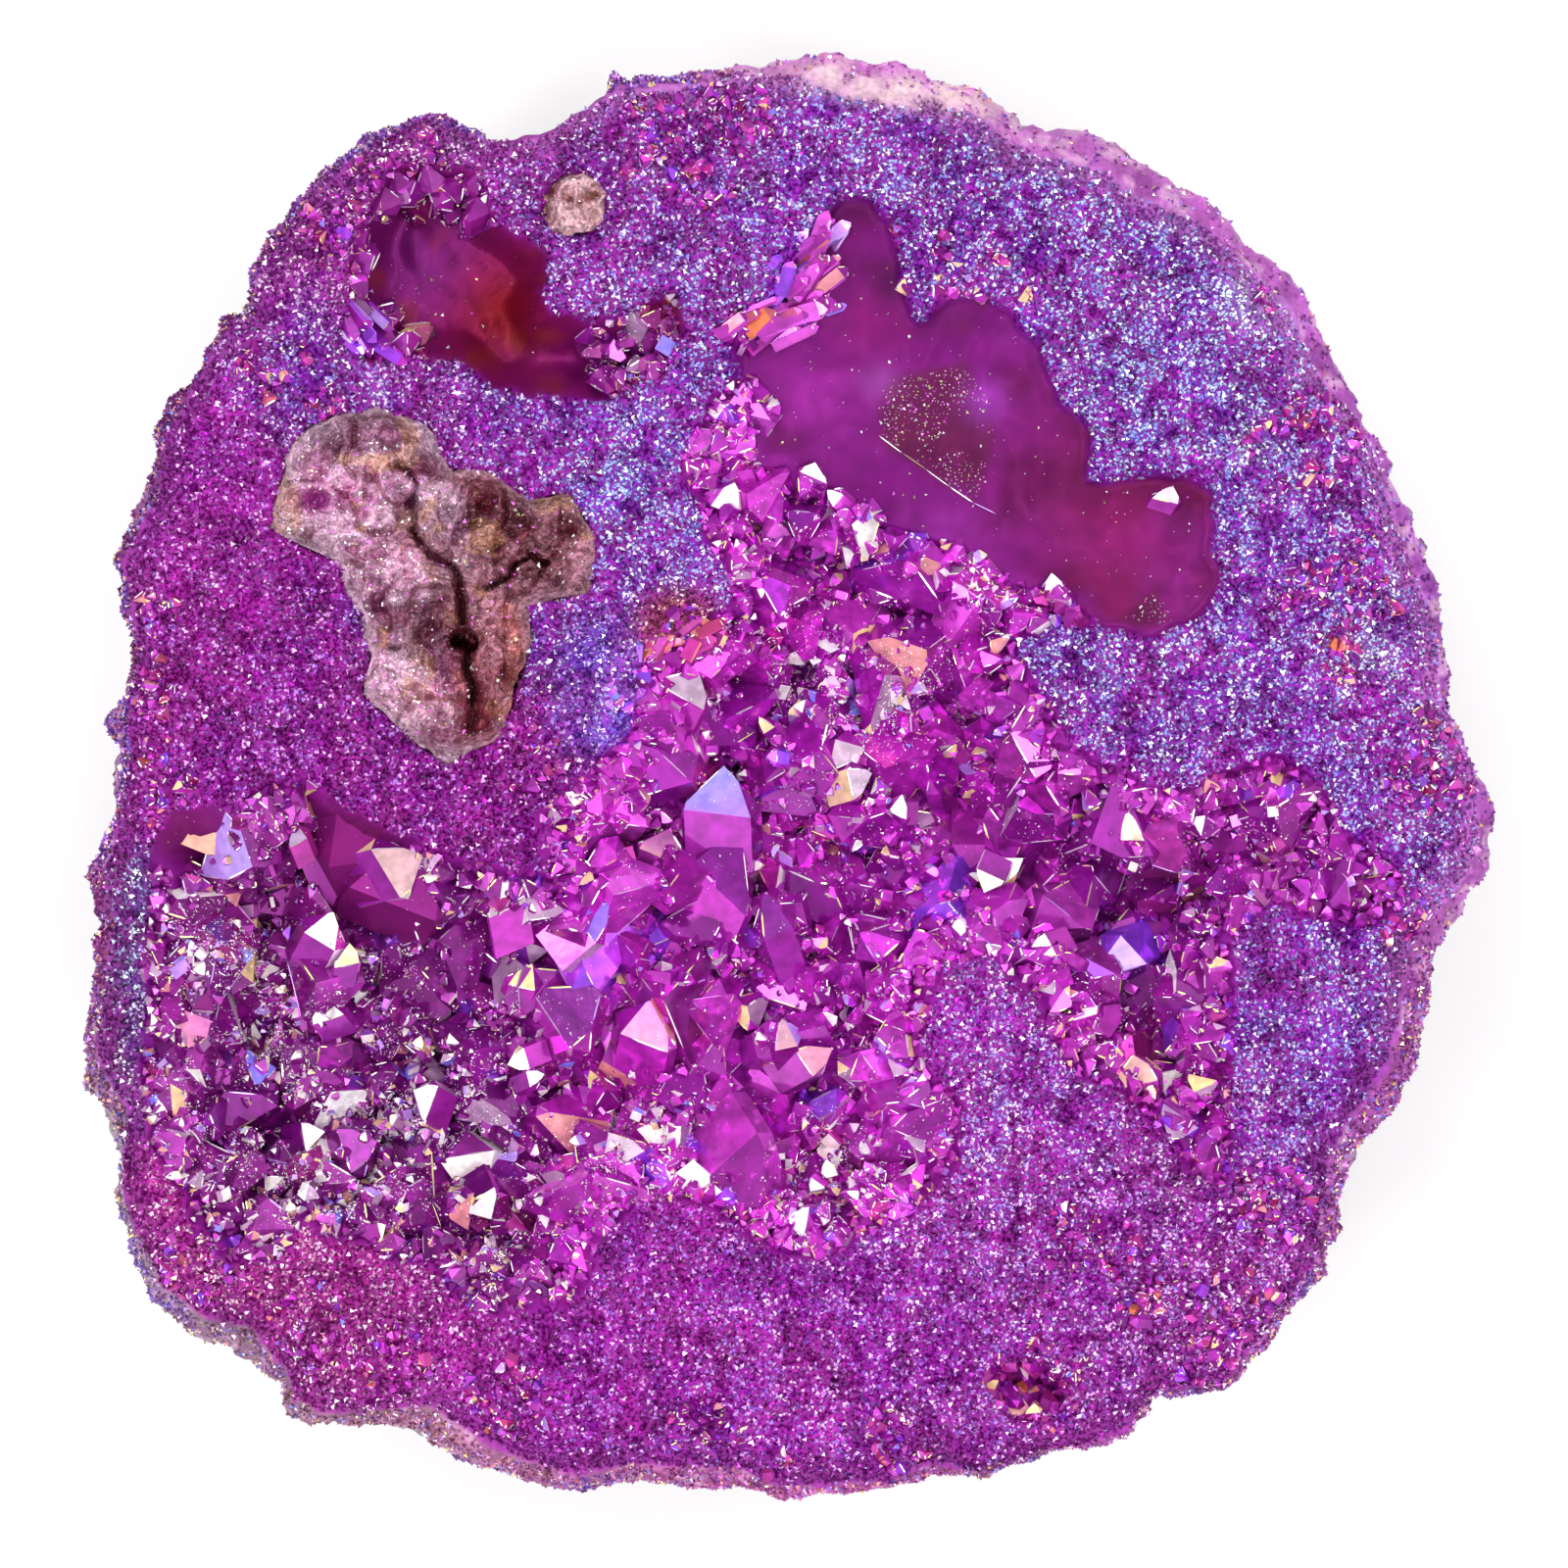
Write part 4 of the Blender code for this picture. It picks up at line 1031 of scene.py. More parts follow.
# %% Crystals placed by one of their faces
def placed(name, table, body, share=0.05, length=1.6, scale=1.0, lift=0.0, contrast=0.16,
           material=quartz_finish):
    """One crystal for each row: x, y, height above the bed, radius, direction of the face's tip,
    tilt of the face and the direction of the tilt in degrees, then the face's colour at its
    foot and at its tip."""
    numbers = np.array([row[:7] for row in table], float)
    x, y, height, radius = numbers[:, :4].T
    height, radius = height + lift, radius * scale
    point, tilt, tilt_turn = np.radians(numbers[:, 4:].T)
    count = len(numbers)
    normal = toward(tilt, tilt_turn)
    flat = -np.stack([np.cos(point), np.sin(point), np.zeros(count)], axis=-1)
    flat -= normal * (flat * normal).sum(axis=1, keepdims=True)
    flat /= np.linalg.norm(flat, axis=1, keepdims=True)
    along = math.cos(FACET) * normal - math.sin(FACET) * flat
    across = math.sin(FACET) * normal + math.cos(FACET) * flat
    middle = radius[:, None] * (0.55 * across + 0.45 * SLOPE * along)
    shape = quartz(radius, length * radius, rng.uniform(1.05, 1.85, (count, 3)))
    shape[..., 1] *= rng.uniform(0.6, 1.1, (count, 1))
    shape[..., 2] += shape[..., 1] * rng.uniform(-0.4, 0.4, (count, 1))
    low, high, bright = facet_colours(count, body, PAINTED_HIGHLIGHTS, share, contrast)
    for row, (foot, tip) in enumerate(entry[7:9] for entry in table):
        low[row, 0], high[row, 0] = linear(foot), linear(tip)
    # A pale top face takes the material of painted highlights.
    bright[:, 0] = high[:, 0].mean(axis=1) > 0.33
    outside = look_up(in_hollow, x, y) < 0.8
    dress(name, shape, on_relief(x, y, height) - middle,
          (across, np.cross(along, across), along), (low, high, bright),
          (FACE - 0.8 + 1.5 * outside)[:, None], material)


WIDE_FACES = [
    (-34.5, -4.0, 2.4, 4.2, 100, 12, 270, "#861A74", "#741464"),
    (-31.0, -8.5, 3.0, 2.8, 60, 14, 240, "#962A8A", "#862078"),
    (-37.5, -8.0, 3.0, 2.4, 150, 16, 300, "#822080", "#9A3C96"),
]
# Faces coloured white, gold and peach are painted highlights, pale grey-mauve ones painted
# reflections of the studio; the purple and violet ones are the film's own.
KEPT_FACES = [
    (-5.2, -1.4, 5.5, 2.9, 92, 4, 90, "#B04CD0", "#8E86FF"),
    (-8.0, 7.2, 4.5, 1.9, 60, 3, 30, "#C4A6BE", "#B294B0"),
    (4.6, 1.9, 5.5, 1.9, 5, 3, 80, "#D0B4CC", "#C4A2C0"),
    (5.6, -0.2, 5.2, 1.4, 20, 5, 300, "#D0B2CA", "#BC9CBC"),
    (0.8, 5.4, 4.5, 1.0, 90, 10, 250, "#E8B890", "#F6D8A8"),
    (-2.0, 4.1, 4.8, 1.0, 130, 10, 200, "#B88A50", "#FFF4C8"),
    (8.7, -2.4, 5.5, 1.2, 70, 6, 240, "#FFF0D0", "#FFFFFF"),
    (7.4, -3.2, 5.2, 1.3, 180, 10, 200, "#C88470", "#E0A890"),
    (17.4, -7.4, 5.5, 2.0, 30, 4, 130, "#FFFFFF", "#FFFBE8"),
    (15.8, -8.6, 5.2, 1.1, 250, 8, 200, "#F6C880", "#FFE0A8"),
    (20.0, -13.7, 5.0, 1.3, 200, 5, 90, "#FFFFFF", "#FFF6DC"),
    (-5.0, -7.4, 4.6, 3.1, 60, 12, 120, "#B02EB8", "#8A1C96"),
    (-1.4, -11.2, 4.8, 2.6, 110, 8, 100, "#A63CB4", "#8A1A98"),
    (-9.9, -5.6, 4.6, 1.8, 80, 10, 250, "#EAB0B0", "#A83CA0"),
    (-11.8, -19.8, 5.2, 2.5, 70, 10, 200, "#E89A98", "#C04CC0"),
    (-0.4, -20.8, 5.0, 1.8, 100, 6, 300, "#DCA4A8", "#C48CB0"),
    (2.2, -22.6, 5.0, 1.9, 30, 8, 30, "#E89CB0", "#D88AB0"),
    (20.4, -16.6, 4.8, 1.2, 60, 5, 200, "#C0A0BE", "#B090B0"),
    (-48.0, -3.8, 8.0, 4.6, 190, 4, 250, "#F0AE98", "#E4A492"),
    (-39.2, -4.6, 4.8, 1.2, 110, 5, 90, "#B496BC", "#A488B0"),
    (-31.0, -7.0, 5.4, 2.5, 20, 8, 280, "#DAB0AC", "#C89AA8"),
    (-28.7, -6.5, 6.2, 1.0, 350, 5, 300, "#FFFFFF", "#FFF4DC"),
    (-22.4, -9.3, 5.0, 2.2, 100, 5, 60, "#C8B0BE", "#B49AB4"),
    (-37.2, -12.2, 5.8, 1.9, 60, 3, 60, "#FFFFFF", "#FFFDF4"),
    (-35.3, -14.4, 5.6, 1.3, 85, 12, 10, "#FFDC90", "#FFF0C8"),
    (-21.0, -16.2, 5.4, 1.5, 75, 6, 350, "#F0C478", "#FFE8B0"),
    (-21.8, -22.9, 5.2, 1.2, 200, 6, 220, "#FFFFFF", "#FFF0C0"),
    (-20.4, -24.2, 5.2, 1.0, 20, 5, 100, "#FFFFFF", "#FFF8E8"),
    (-15.6, -11.2, 4.8, 2.1, 40, 14, 40, "#A070F4", "#8A60EC"),
    (-17.6, -18.2, 4.6, 3.6, 20, 10, 180, "#9C28A4", "#7A1286"),
    (-13.7, -29.8, 4.6, 2.0, 120, 4, 200, "#CCB0C4", "#BC9CB8"),
    (-7.6, -32.0, 4.4, 1.8, 95, 3, 100, "#FFFFFF", "#FFFDF6"),
    (3.0, -31.6, 4.4, 1.1, 95, 5, 20, "#FFFFFF", "#FFF8E8"),
    (0.6, -35.5, 3.8, 1.2, 170, 5, 250, "#FFFFFF", "#FFFFFF"),
    (-47.4, -20.4, 4.6, 2.0, 35, 10, 220, "#F09CA8", "#C860B0"),
    (-50.2, -25.2, 3.8, 2.6, 80, 12, 180, "#C060C0", "#8A2090"),
    (-20.6, -41.4, 2.8, 2.4, 0, 14, 60, "#8A2098", "#6A1078"),
    (26.4, -15.0, 4.8, 2.6, 215, 6, 60, "#F0A4B0", "#9CA0FF"),
    (27.2, -4.2, 4.6, 1.7, 100, 6, 330, "#FFE8B8", "#FFFFF0"),
    (27.6, -23.6, 4.2, 1.8, 100, 6, 280, "#F2C0A0", "#E0A8B0"),
    (38.6, -9.0, 2.8, 2.6, 60, 10, 120, "#B04CA0", "#98348A"),
    (45.0, -9.4, 2.0, 2.6, 20, 12, 240, "#A83C90", "#942E80"),
    (1.9, 24.3, 1.4, 0.9, 80, 5, 60, "#FFFFFF", "#F4E8FF"),
    (3.5, 22.3, 1.6, 0.9, 140, 5, 220, "#FFFFFF", "#FFFFFF"),
    (21.0, 15.4, 1.4, 1.0, 100, 4, 100, "#E8D8F4", "#FFFFFF"),
    (30.2, 22.4, 1.6, 1.0, 60, 5, 30, "#C8A8C8", "#D8B8D0"),
    (-24.5, -34.6, 4.0, 1.5, 300, 6, 140, "#FFFFFF", "#F0E0F4"),
    (-33.0, -36.2, 3.4, 1.2, 30, 6, 40, "#FFFFFF", "#FFF6E8"),
    (-38.3, -28.8, 4.2, 1.3, 10, 5, 130, "#FFFFFF", "#FFFFFF"),
    (-37.2, -18.9, 4.6, 1.2, 120, 6, 200, "#FFFFFF", "#F4ECFF"),
    (-29.4, -25.8, 4.6, 1.3, 150, 5, 60, "#FFFFFF", "#F6F0FF"),
]
placed("west_faces", WIDE_FACES, {"wine": 1}, share=0.0, contrast=0.06, material=etched_finish)
placed("remembered_faces", KEPT_FACES, BODY, length=2.2, scale=0.84, lift=0.6)

# %% Small crystals of the pocket, the south vug and the worn spots of the rim
EDGE_BODY = {"magenta": 22, "orchid": 8, "rose": 16, "plum": 20, "crimson": 8, "orange": 1,
             "violet": 6, "deep": 20}
# The bright colours below are painted highlights, tinted by the film.
EDGE_PAINTED_HIGHLIGHTS = {"gold": 22, "peach": 20, "white": 20, "blue": 14, "lilac": 14, "orange": 10}
POCKET_BODY = {"plum": 5, "magenta": 5, "crimson": 2, "orchid": 3, "deep": 3, "mauve": 1}
# The west and the east end of the pocket are lined, the calm middle is bare.
ends = np.maximum(-26.5 - MAP_X + 0.6 * (MAP_Y - 38), MAP_X + 17.0 + 0.4 * (MAP_Y - 34))
for title, step, sizes, inset, share, replaced in (
        ("small", 1.5, (0.6, 1.2), 0.5, 0.03, ("pocket_crystals",)),
        ("fine", 0.8, (0.2, 0.42), 0.2, 0.1, ())):
    grow(f"pocket_{title}", step, np.minimum.reduce([in_pocket - inset, ends, busy]), sizes,
         POCKET_BODY, EDGE_PAINTED_HIGHLIGHTS, share, stand=(0.4, 1.4), tone=0.75, replaced=replaced)
grow("south_vug", 0.8, in_south, (0.3, 0.8), EDGE_BODY, EDGE_PAINTED_HIGHLIGHTS, 0.15,
     replaced=("south_vug_crystals",), lit=False)

# Worn spots near the rim, where the crust is coarse: (x, y, radius).
COARSE = [(-12, 52, 4), (-5, 52, 3.5), (-38, 45, 4.5), (-31, 49, 3.5), (-41, 33, 3), (-37, 29, 2),
          (41, 27, 4.5), (44, 15, 5), (46, 9, 3.5), (51, 1, 4), (24, -37.5, 4), (29, -41, 3.5),
          (20, -48, 4), (35, -43, 4.5), (39, -34, 4), (-46, -39, 4.5), (-40, -44, 4.5),
          (-32, -47, 3.5), (-23, -50, 3.5), (-6.5, -52, 3), (8.5, -53, 3), (0, -56, 2.5),
          (-52, 5, 3.5), (-51, 12, 3), (-50, -1, 3), (-8, 11.5, 2.5), (-20, 1, 3), (-7, 47, 2.5),
          (38, 40, 3), (49, -12, 3), (27, -17, 1.5), (-31, 45.5, 2.5), (-13, 34, 2.5),
          (31, -50, 3), (14, 40.5, 3), (8, 42, 2.5)]
coarse = bell_map(COARSE) * ease(0.7 + rough_map(2.0, 141))
grow("rim_points", 0.85, np.minimum.reduce([in_stone - 0.2, 0.3 - in_hollow, coarse - 0.35]),
     (0.18, 0.46), EDGE_BODY, EDGE_PAINTED_HIGHLIGHTS, 0.06, lean=0.6, wall_lean=0.0, stand=(0.1, 0.6),
     bury=1.2, ceiling=FACE + 0.9)

# %% [markdown]
# ## Blades, spears and ledges
# At the mouth of the cavern a fan of long crystals lies almost flat, lilac and blue along their
# sides. Four smaller groups of long points break the crust elsewhere.


# %% Long crystals that lie almost flat
def fan(name, count, corner, far_corner, depths, turns, leans, radii, lengths, body, highlight_weights,
        share, flat):
    """Long points from places in a box, toward a range of directions and leans in degrees.
    flat: how thick they are for their width; flat ones lie on their wide side."""
    x = rng.uniform(corner[0], far_corner[0], count)
    y = rng.uniform(corner[1], far_corner[1], count)
    z = FACE - rng.uniform(*depths, count)
    way = toward(np.radians(rng.uniform(*leans, count)), np.radians(rng.uniform(*turns, count)))
    radius = rng.uniform(*radii, count)
    length = rng.uniform(*lengths, count)
    shape = quartz(radius, length, rng.uniform(1.1, 1.7, (count, 3)))
    colours = facet_colours(count, body, highlight_weights, share)
    shape[..., 1] *= flat
    spots = np.column_stack([x, y, z]) + way * length[:, None] * 0.5
    axes = leaning(way, rng.uniform(0, 2 * math.pi, count) * (0.08 if flat < 1 else 1.0))
    dress(name, shape, spots, axes, colours, FACE + 0.5)


BLADES = ((0.25, 0.6), (1.8, 4.6),
          {"lilac": 2, "violet": 3, "pink": 3, "blue": 1, "magenta": 12, "orchid": 7, "peach": 1,
           "rose": 3, "plum": 6, "orange": 2},
          {"white": 2, "blue": 3, "lilac": 6, "gold": 1, "orange": 1, "peach": 2}, 0.01, 0.35)
# Name, number, two corners, depths, directions, leans; then radii, lengths, body, bright
# colours, share of bright faces and thickness.
for group in (
        ("blades_low", 34, (-6.5, 34.8), (0.5, 37.5), (0.2, 2.2), (5, 45), (78, 88), *BLADES),
        ("blades_middle", 34, (-4.0, 36.0), (2.5, 40.0), (0.2, 2.2), (15, 60), (72, 86), *BLADES),
        ("blades_high", 24, (-0.5, 39.0), (3.5, 43.5), (0.2, 2.2), (30, 80), (64, 82), *BLADES),
        ("pocket_spears", 9, (-36.0, 33.0), (-31.5, 37.0), (0.3, 1.2), (285, 335), (60, 80),
         (0.3, 0.5), (2.0, 3.2), {"violet": 3, "dark": 2, "plum": 4, "magenta": 3},
         {"white": 2, "lilac": 2}, 0.1, 1.0),
        ("ledge", 26, (-12.0, 9.5), (-5.5, 13.5), (0.1, 1.2), (0, 70), (68, 86),
         (0.25, 0.6), (0.8, 2.2), {"orange": 1, "crimson": 4, "rose": 4, "magenta": 3},
         {"gold": 3, "white": 1, "orange": 3}, 0.18, 0.4),
        ("lilac_patch", 16, (-16.5, 4.8), (-11.5, 10.0), (-0.3, 0.3), (0, 360), (50, 80),
         (0.3, 0.6), (0.3, 0.8), {"violet": 5, "lilac": 1, "blue": 2, "orchid": 4},
         {"pink": 2, "gold": 1, "lilac": 2}, 0.1, 0.6),
        ("cavern_shards", 16, (9.5, 38.0), (19.0, 40.5), (0.2, 1.6), (200, 340), (35, 70),
         (0.35, 0.7), (0.8, 1.8), EDGE_BODY, {"gold": 3, "orange": 2}, 0.3, 1.0)):
    fan(*group)

# %% [markdown]
# ## The brown mineral
# Before the quartz finished growing, an iron-stained mineral filled a hollow in the west and a
# small one in the north. Its surface is lumpy and split by a crack, brown where it is bare and
# silvery pink where the film lies thick. It is a slab with its own relief, again one closed
# skin, with a fine sparkle of sugar on it.


# %% Mineral relief
CRACKS = [([(-30, 19.5), (-28, 17.3), (-26.6, 15.6), (-26.3, 12.8), (-25.9, 10)], 0.32, 2.0),
          ([(-25.9, 10.0), (-25.5, 8.4), (-24.9, 4.3)], 0.45, 2.4),
          ([(-24.2, 15.3), (-21.2, 17.4), (-19.4, 17.0)], 0.28, 1.6),
          ([(-31.5, 24.5), (-29.8, 22.5), (-29.6, 19.6)], 0.3, 1.4)]
HOLES = [(-31.2, 27.6, 1.5, 1.4), (-17.3, 20.2, 1.3, 2.0), (-37.9, 22.2, 0.9, 1.6),
         (-26.0, 20.5, 1.6, 1.2), (-22.6, 7.8, 1.0, 1.2), (-29.5, 11.5, 0.9, 0.9)]


def creases(x, y):
    """Thin winding lines, on two scales, where soft noise passes through zero."""
    wide = np.exp(-((rough(x, y, 0, 4.2, 163, 2) / 0.09) ** 2))
    fine = np.exp(-((rough(x, y, 0, 1.6, 167, 2) / 0.12) ** 2))
    return np.maximum(wide, 0.6 * fine)


def mineral_relief(x, y):
    """Height below the sawn face: lumps on three scales, less the creases, cracks and holes."""
    lumps = 1.0 - np.abs(rough(x, y, 0, 5.5, 161, 2))
    small = 1.0 - np.abs(rough(x, y, 0, 2.2, 165, 2))
    height = -3.2 + 1.7 * lumps + 1.0 * small + 0.3 * rough(x, y, 0, 0.8, 169, 2)
    height = height - 0.45 * creases(x, y)
    stray_x, stray_y = 0.7 * rough(x, y, 0, 1.8, 173, 2), 0.7 * rough(x, y, 0, 1.8, 177, 2)
    for line, width, depth in CRACKS:
        far = to_line(x + stray_x, y + stray_y, line) / (width * (1.0 + 0.6 * stray_x))
        height = height - depth * np.exp(-far**2)
    for hole_x, hole_y, radius, depth in HOLES:
        height = height - depth * bell(x, y, hole_x, hole_y, radius)
    near_edge = 1.0 - ease(look_up(in_vug, x, y) / 1.6)
    return np.minimum(height, -0.1) * (1.0 - near_edge) - 0.7 * near_edge


def slab(name, loop, middle, cells, height, colour, thick, replaced):
    """A closed slab under a relief: a disc grid stretched to the outline, a side and a foot."""
    u, v = disc_grid(cells)
    turn = np.arctan2(v, u).ravel()
    far = reach(loop, middle, turn)
    edge_x, edge_y = far * np.cos(turn), far * np.sin(turn)
    far = (far + 0.45 * rough(edge_x, edge_y, 0, 2.2, 157, 3)) * np.hypot(u, v).ravel()
    x, y = middle[0] + far * np.cos(turn), middle[1] + far * np.sin(turn)
    lid = np.column_stack([x, y, FACE + height(x, y)])
    rim = lid[grid_faces(cells)[1]]
    foot = rim * (1.0, 1.0, 0.0) + (0.0, 0.0, FACE - thick)
    points, faces = closed_skin(lid, cells, [0.5 * (rim + foot), foot])
    make_piece(name, points, faces, colour(*points.T), ochre_finish, replaced,
               smooth=True)


def mineral_film(x, y, z):
    """Silvery pink in the west, brown in the east, dark round the cracks, gold in patches. Painted
    shade darkens it low down, toward the vug's edge and in its deepest places.
    """
    height = z - FACE + 0.5 * rough(x, y, 0, 1.0, 179, 2)
    # Paler on the lumps and darker low down: partly the mineral's own colour, partly painted shade
    # in the low places.
    high = ease((height + 3.2) / 2.6)
    brown, silvery = mix("#6A1E2C", "#BC7E94", high), mix("#904070", "#DEB0CC", high)
    west = ease((-24.5 - x + 1.5 * rough(x, y, 0, 3.0, 171)) / 4.0)
    low_end = bell(x, y, -29, 8, 3.46) * ease(rough(x, y, 0, 2.0, 183, 2) * 2)
    ridge = np.exp(-((to_line(x, y, [(-22.5, 13), (-21.6, 9), (-22.4, 5)]) / 0.9) ** 2))
    near_crack = np.minimum(to_line(x, y, CRACKS[0][0]), to_line(x, y, CRACKS[1][0]))
    stain = np.exp(-((near_crack + 0.5 * rough(x, y, 0, 1.2, 187, 2)) / 1.7) ** 2)
    film = layered(brown, (silvery, np.maximum(west, bell(x, y, -28.5, 6.5, 4))),
                   ("#74283C", 0.7 * creases(x, y)),
                   ("#C89468", 0.5 * ease((rough(x, y, 0, 1.8, 175) - 0.45) / 0.25)),
                   ("#C88878", 0.5 * low_end), ("#B4604C", 0.6 * ridge),
                   ("#B03C9C", bell(x, y, -37.8, 21.9, 1.265)), ("#7E2C34", 0.65 * stain))
    # Painted shade: darker toward the edge of the vug.
    film = film * (0.55 + 0.45 * ease(look_up(in_vug, x, y) / 1.3))[:, None]
    film = film * (0.95 + 0.35 * rough(x, y, 0, 3.4, 189, 2))[:, None]
    # Painted shade: the deepest places, in holes and cracks, go near black.
    return mix("#4A1A1E", film, ease((height + 5.0) / 2.0))


VUG_MIDDLE = (-27.0, 15.5)
DEEPEST_SUGAR, SUGAR_COVER = -6.5, 0.75
vug_loop = VUG_MIDDLE + (VUG_MOUTH - VUG_MIDDLE) * 1.02
slab("brown_mineral", vug_loop, VUG_MIDDLE, 150, mineral_relief, mineral_film, 8.8,
     ("vug_mineral",))
x, y = jittered(0.27, in_vug - 0.3)
height = mineral_relief(x, y)
keep = (height > DEEPEST_SUGAR) & (rng.random(len(x)) < SUGAR_COVER)
spots = np.column_stack([x, y, FACE + height])[keep]
film = mineral_film(*spots.T)
size = rng.uniform(0.12, 0.26, len(spots))
# The sugar's white, pink, gold and lilac faces are painted glints.
sugar = np.clip(choose({"white": 5, "pink": 3, "gold": 2, "lilac": 2}, len(spots)), 0, 1)
lay_grains("mineral_sugar", spots, UP, size, film * 0.8, sugar, 0.06 + 0.24 * (film[:, 2] > 0.3),
           highlight_finish, spread=0.48)

# %% The small brown nodule near the north rim
NODULE = (-17.2, 45.4)
ring_turn = np.linspace(0, 2 * math.pi, 48, endpoint=False)
ring_far = 2.7 + 0.3 * np.sin(2 * ring_turn + 1.0) + 0.2 * np.sin(3 * ring_turn + 2.0)
nodule_loop = np.stack([NODULE[0] + ring_far * np.cos(ring_turn),
                        NODULE[1] + ring_far * np.sin(ring_turn)], axis=-1)


def nodule_relief(x, y):
    """A dome with lumps, split by one groove."""
    far = np.hypot(x - NODULE[0], y - NODULE[1]) / 3.1
    dome = 1.5 * np.sqrt(np.clip(1.0 - far**2, 0.0, 1.0)) - 1.1
    groove = to_line(x, y, [(-19, 46.6), (-17, 45.6), (-15.4, 46.2)])
    lumps = 0.7 * np.abs(rough(x, y, 0, 1.6, 181, 2)) + 0.2 * rough(x, y, 0, 0.7, 185, 2)
    return dome - lumps - 0.5 * np.exp(-(groove / 0.3) ** 2)


slab("brown_nodule", nodule_loop, NODULE, 48, nodule_relief,
     lambda x, y, z: mix("#7C3C30", "#CCA0A8", ease((z - FACE + 1.3) / 1.3)), 2.8,
     ("rim_nodule",))
x, y = jittered(0.3, 2.3 - np.hypot(MAP_X - NODULE[0], MAP_Y - NODULE[1]))
height = nodule_relief(x, y)
film = mix("#8A4838", "#CCA0A8", ease((height + 1.3) / 1.3))
# Its shine, the film made paler, is a painted glint.
lay_grains("nodule_sugar", np.column_stack([x, y, FACE + height]), UP,
           rng.uniform(0.12, 0.22, len(x)), film, np.clip(film * 2.2, 0, 1), 0.35, sand_finish)

# %% [markdown]
# ## The rim and the cortex
# Round the cut the crust breaks off in coarse, pink and peach grains. Below it the sand thins
# out over the natural outside of the stone, so the grains get fewer down the side.

# %% Grains on the rim and the side
def on_skin(row, column):
    """A place on the stone's side between four points of its rows, and the way out there."""
    i, j = row.astype(int), column.astype(int)
    s, t = (row - i)[:, None], (column - j)[:, None]
    after = (j + 1) % skin.shape[1]
    a, b, c, d = skin[i, j], skin[i, after], skin[i + 1, j], skin[i + 1, after]
    place = (a * (1 - t) + b * t) * (1 - s) + (c * (1 - t) + d * t) * s
    out = np.cross(c - a, b - a)
    return place, out / np.linalg.norm(out, axis=1, keepdims=True)


# Name, number of grains, first and last row of the skin, smallest and largest size.
for title, count, first, last, small, large in (
        ("rim_grains", 15000, 0.0, SLOPE_ROWS - 0.5, 0.16, 0.34),
        ("side_grains", 12000, SLOPE_ROWS - 0.5, SLOPE_ROWS + SIDE_ROWS - 3.0, 0.2, 0.5)):
    row = first + (last - first) * rng.random(count) ** (1.0 if first == 0 else 2.2)
    place, out = on_skin(row, rng.random(count) * skin.shape[1])
    x, y, z = place.T
    few = np.maximum(ease((x + y - 30) / 12) * (x > -4), look_up(pale, x, y))
    kept = rng.random(count) > 0.88 * few
    place, out = place[kept], out[kept]
    x, y, z = place.T
    film = mix(rim_colour(x, y) * (1.0 + 0.35 * rough(x, y, z, 3.0, 191))[:, None], "#7C50B8",
               0.6 * ease(rough(x, y, z, 5.0, 195) * 1.6))
    if first > 0:
        film = mix("#9A8496", film, ease((z - 22) / 14))
    # The shine colours are painted glints on a share of the grains' faces.
    shine = choose({"gold": 3, "peach": 4, "white": 3, "blue": 3, "lilac": 4}, len(x))
    lay_grains(title, place + 0.05 * out, out, rng.uniform(small, large, len(x)), film,
               np.clip(shine * 0.55, 0, 1), 0.22, sand_finish)

# %% [markdown]
# ## Light on edges and faces
# Two small things make coated quartz look wet. The edges of a crystal are slightly rounded, so
# one or another always catches a lamp and shows as a thin bright line; here the lines are painted
# highlights, white and gold whatever the lamps. And every face carries grown specks a tenth of a
# millimetre across, painted white, lilac and gold as glints. Lines are spindles with three sides
# laid along edges, and specks are grains scattered on faces by area.

# %% Bright edges
EDGES = np.array([(0, 1), (0, 2), (0, 3), (1, 5), (1, 6), (2, 7), (2, 8), (3, 9), (3, 4),
                  (4, 5), (6, 7), (8, 9)])
SHORTEST, LIT_SHARE, LIT_DEPTH = 0.45, 0.4, 13.0
# The one long ridge of the cavern's floor, as places on the map. A painted highlight line is laid
# along it.
RIDGE = np.array([(7.1, 27.2), (9.0, 25.8), (10.9, 24.5), (12.8, 23.1), (14.7, 21.8),
                  (16.5, 20.9)])
starts, ends = [np.concatenate([points[:, EDGES[:, end]].reshape(-1, 3) for points in dressed])
                for end in (0, 1)]
lit = (np.linalg.norm(ends - starts, axis=1) > SHORTEST) & (rng.random(len(starts)) < LIT_SHARE)
lit &= starts[:, 2] > FACE - LIT_DEPTH
ridge = on_relief(*RIDGE.T, 0.05)
starts, ends = [np.concatenate([edge_ends[lit], more])
                for edge_ends, more in ((starts, ridge[:-1]), (ends, ridge[1:]))]
count, on_ridge = len(starts), slice(1 - len(ridge), None)
cut_in, cut_out = rng.uniform(0, 0.35, (2, count, 1))
cut_in[on_ridge], cut_out[on_ridge] = 0.0, 0.0
starts, ends = starts + (ends - starts) * cut_in, ends - (ends - starts) * cut_out
length = np.linalg.norm(ends - starts, axis=1)
width = rng.uniform(0.035, 0.09, count)
width[on_ridge] = 0.05
spindle = np.zeros((count, 8, 3))
spindle[:, 7, 2] = length
for k in range(3):
    turn = 2.1 * k        # about a third of the way round each time
    for ring, share in ((1, 0.18), (4, 0.82)):
        spindle[:, ring + k] = np.stack([width * math.cos(turn), width * math.sin(turn),
                                         length * share], axis=-1)
SPINDLE = [np.array([(0, 2, 1), (0, 3, 2), (0, 1, 3), (7, 4, 5), (7, 5, 6), (7, 6, 4)]),
           np.array([(1, 2, 5, 4), (2, 3, 6, 5), (3, 1, 4, 6)])]
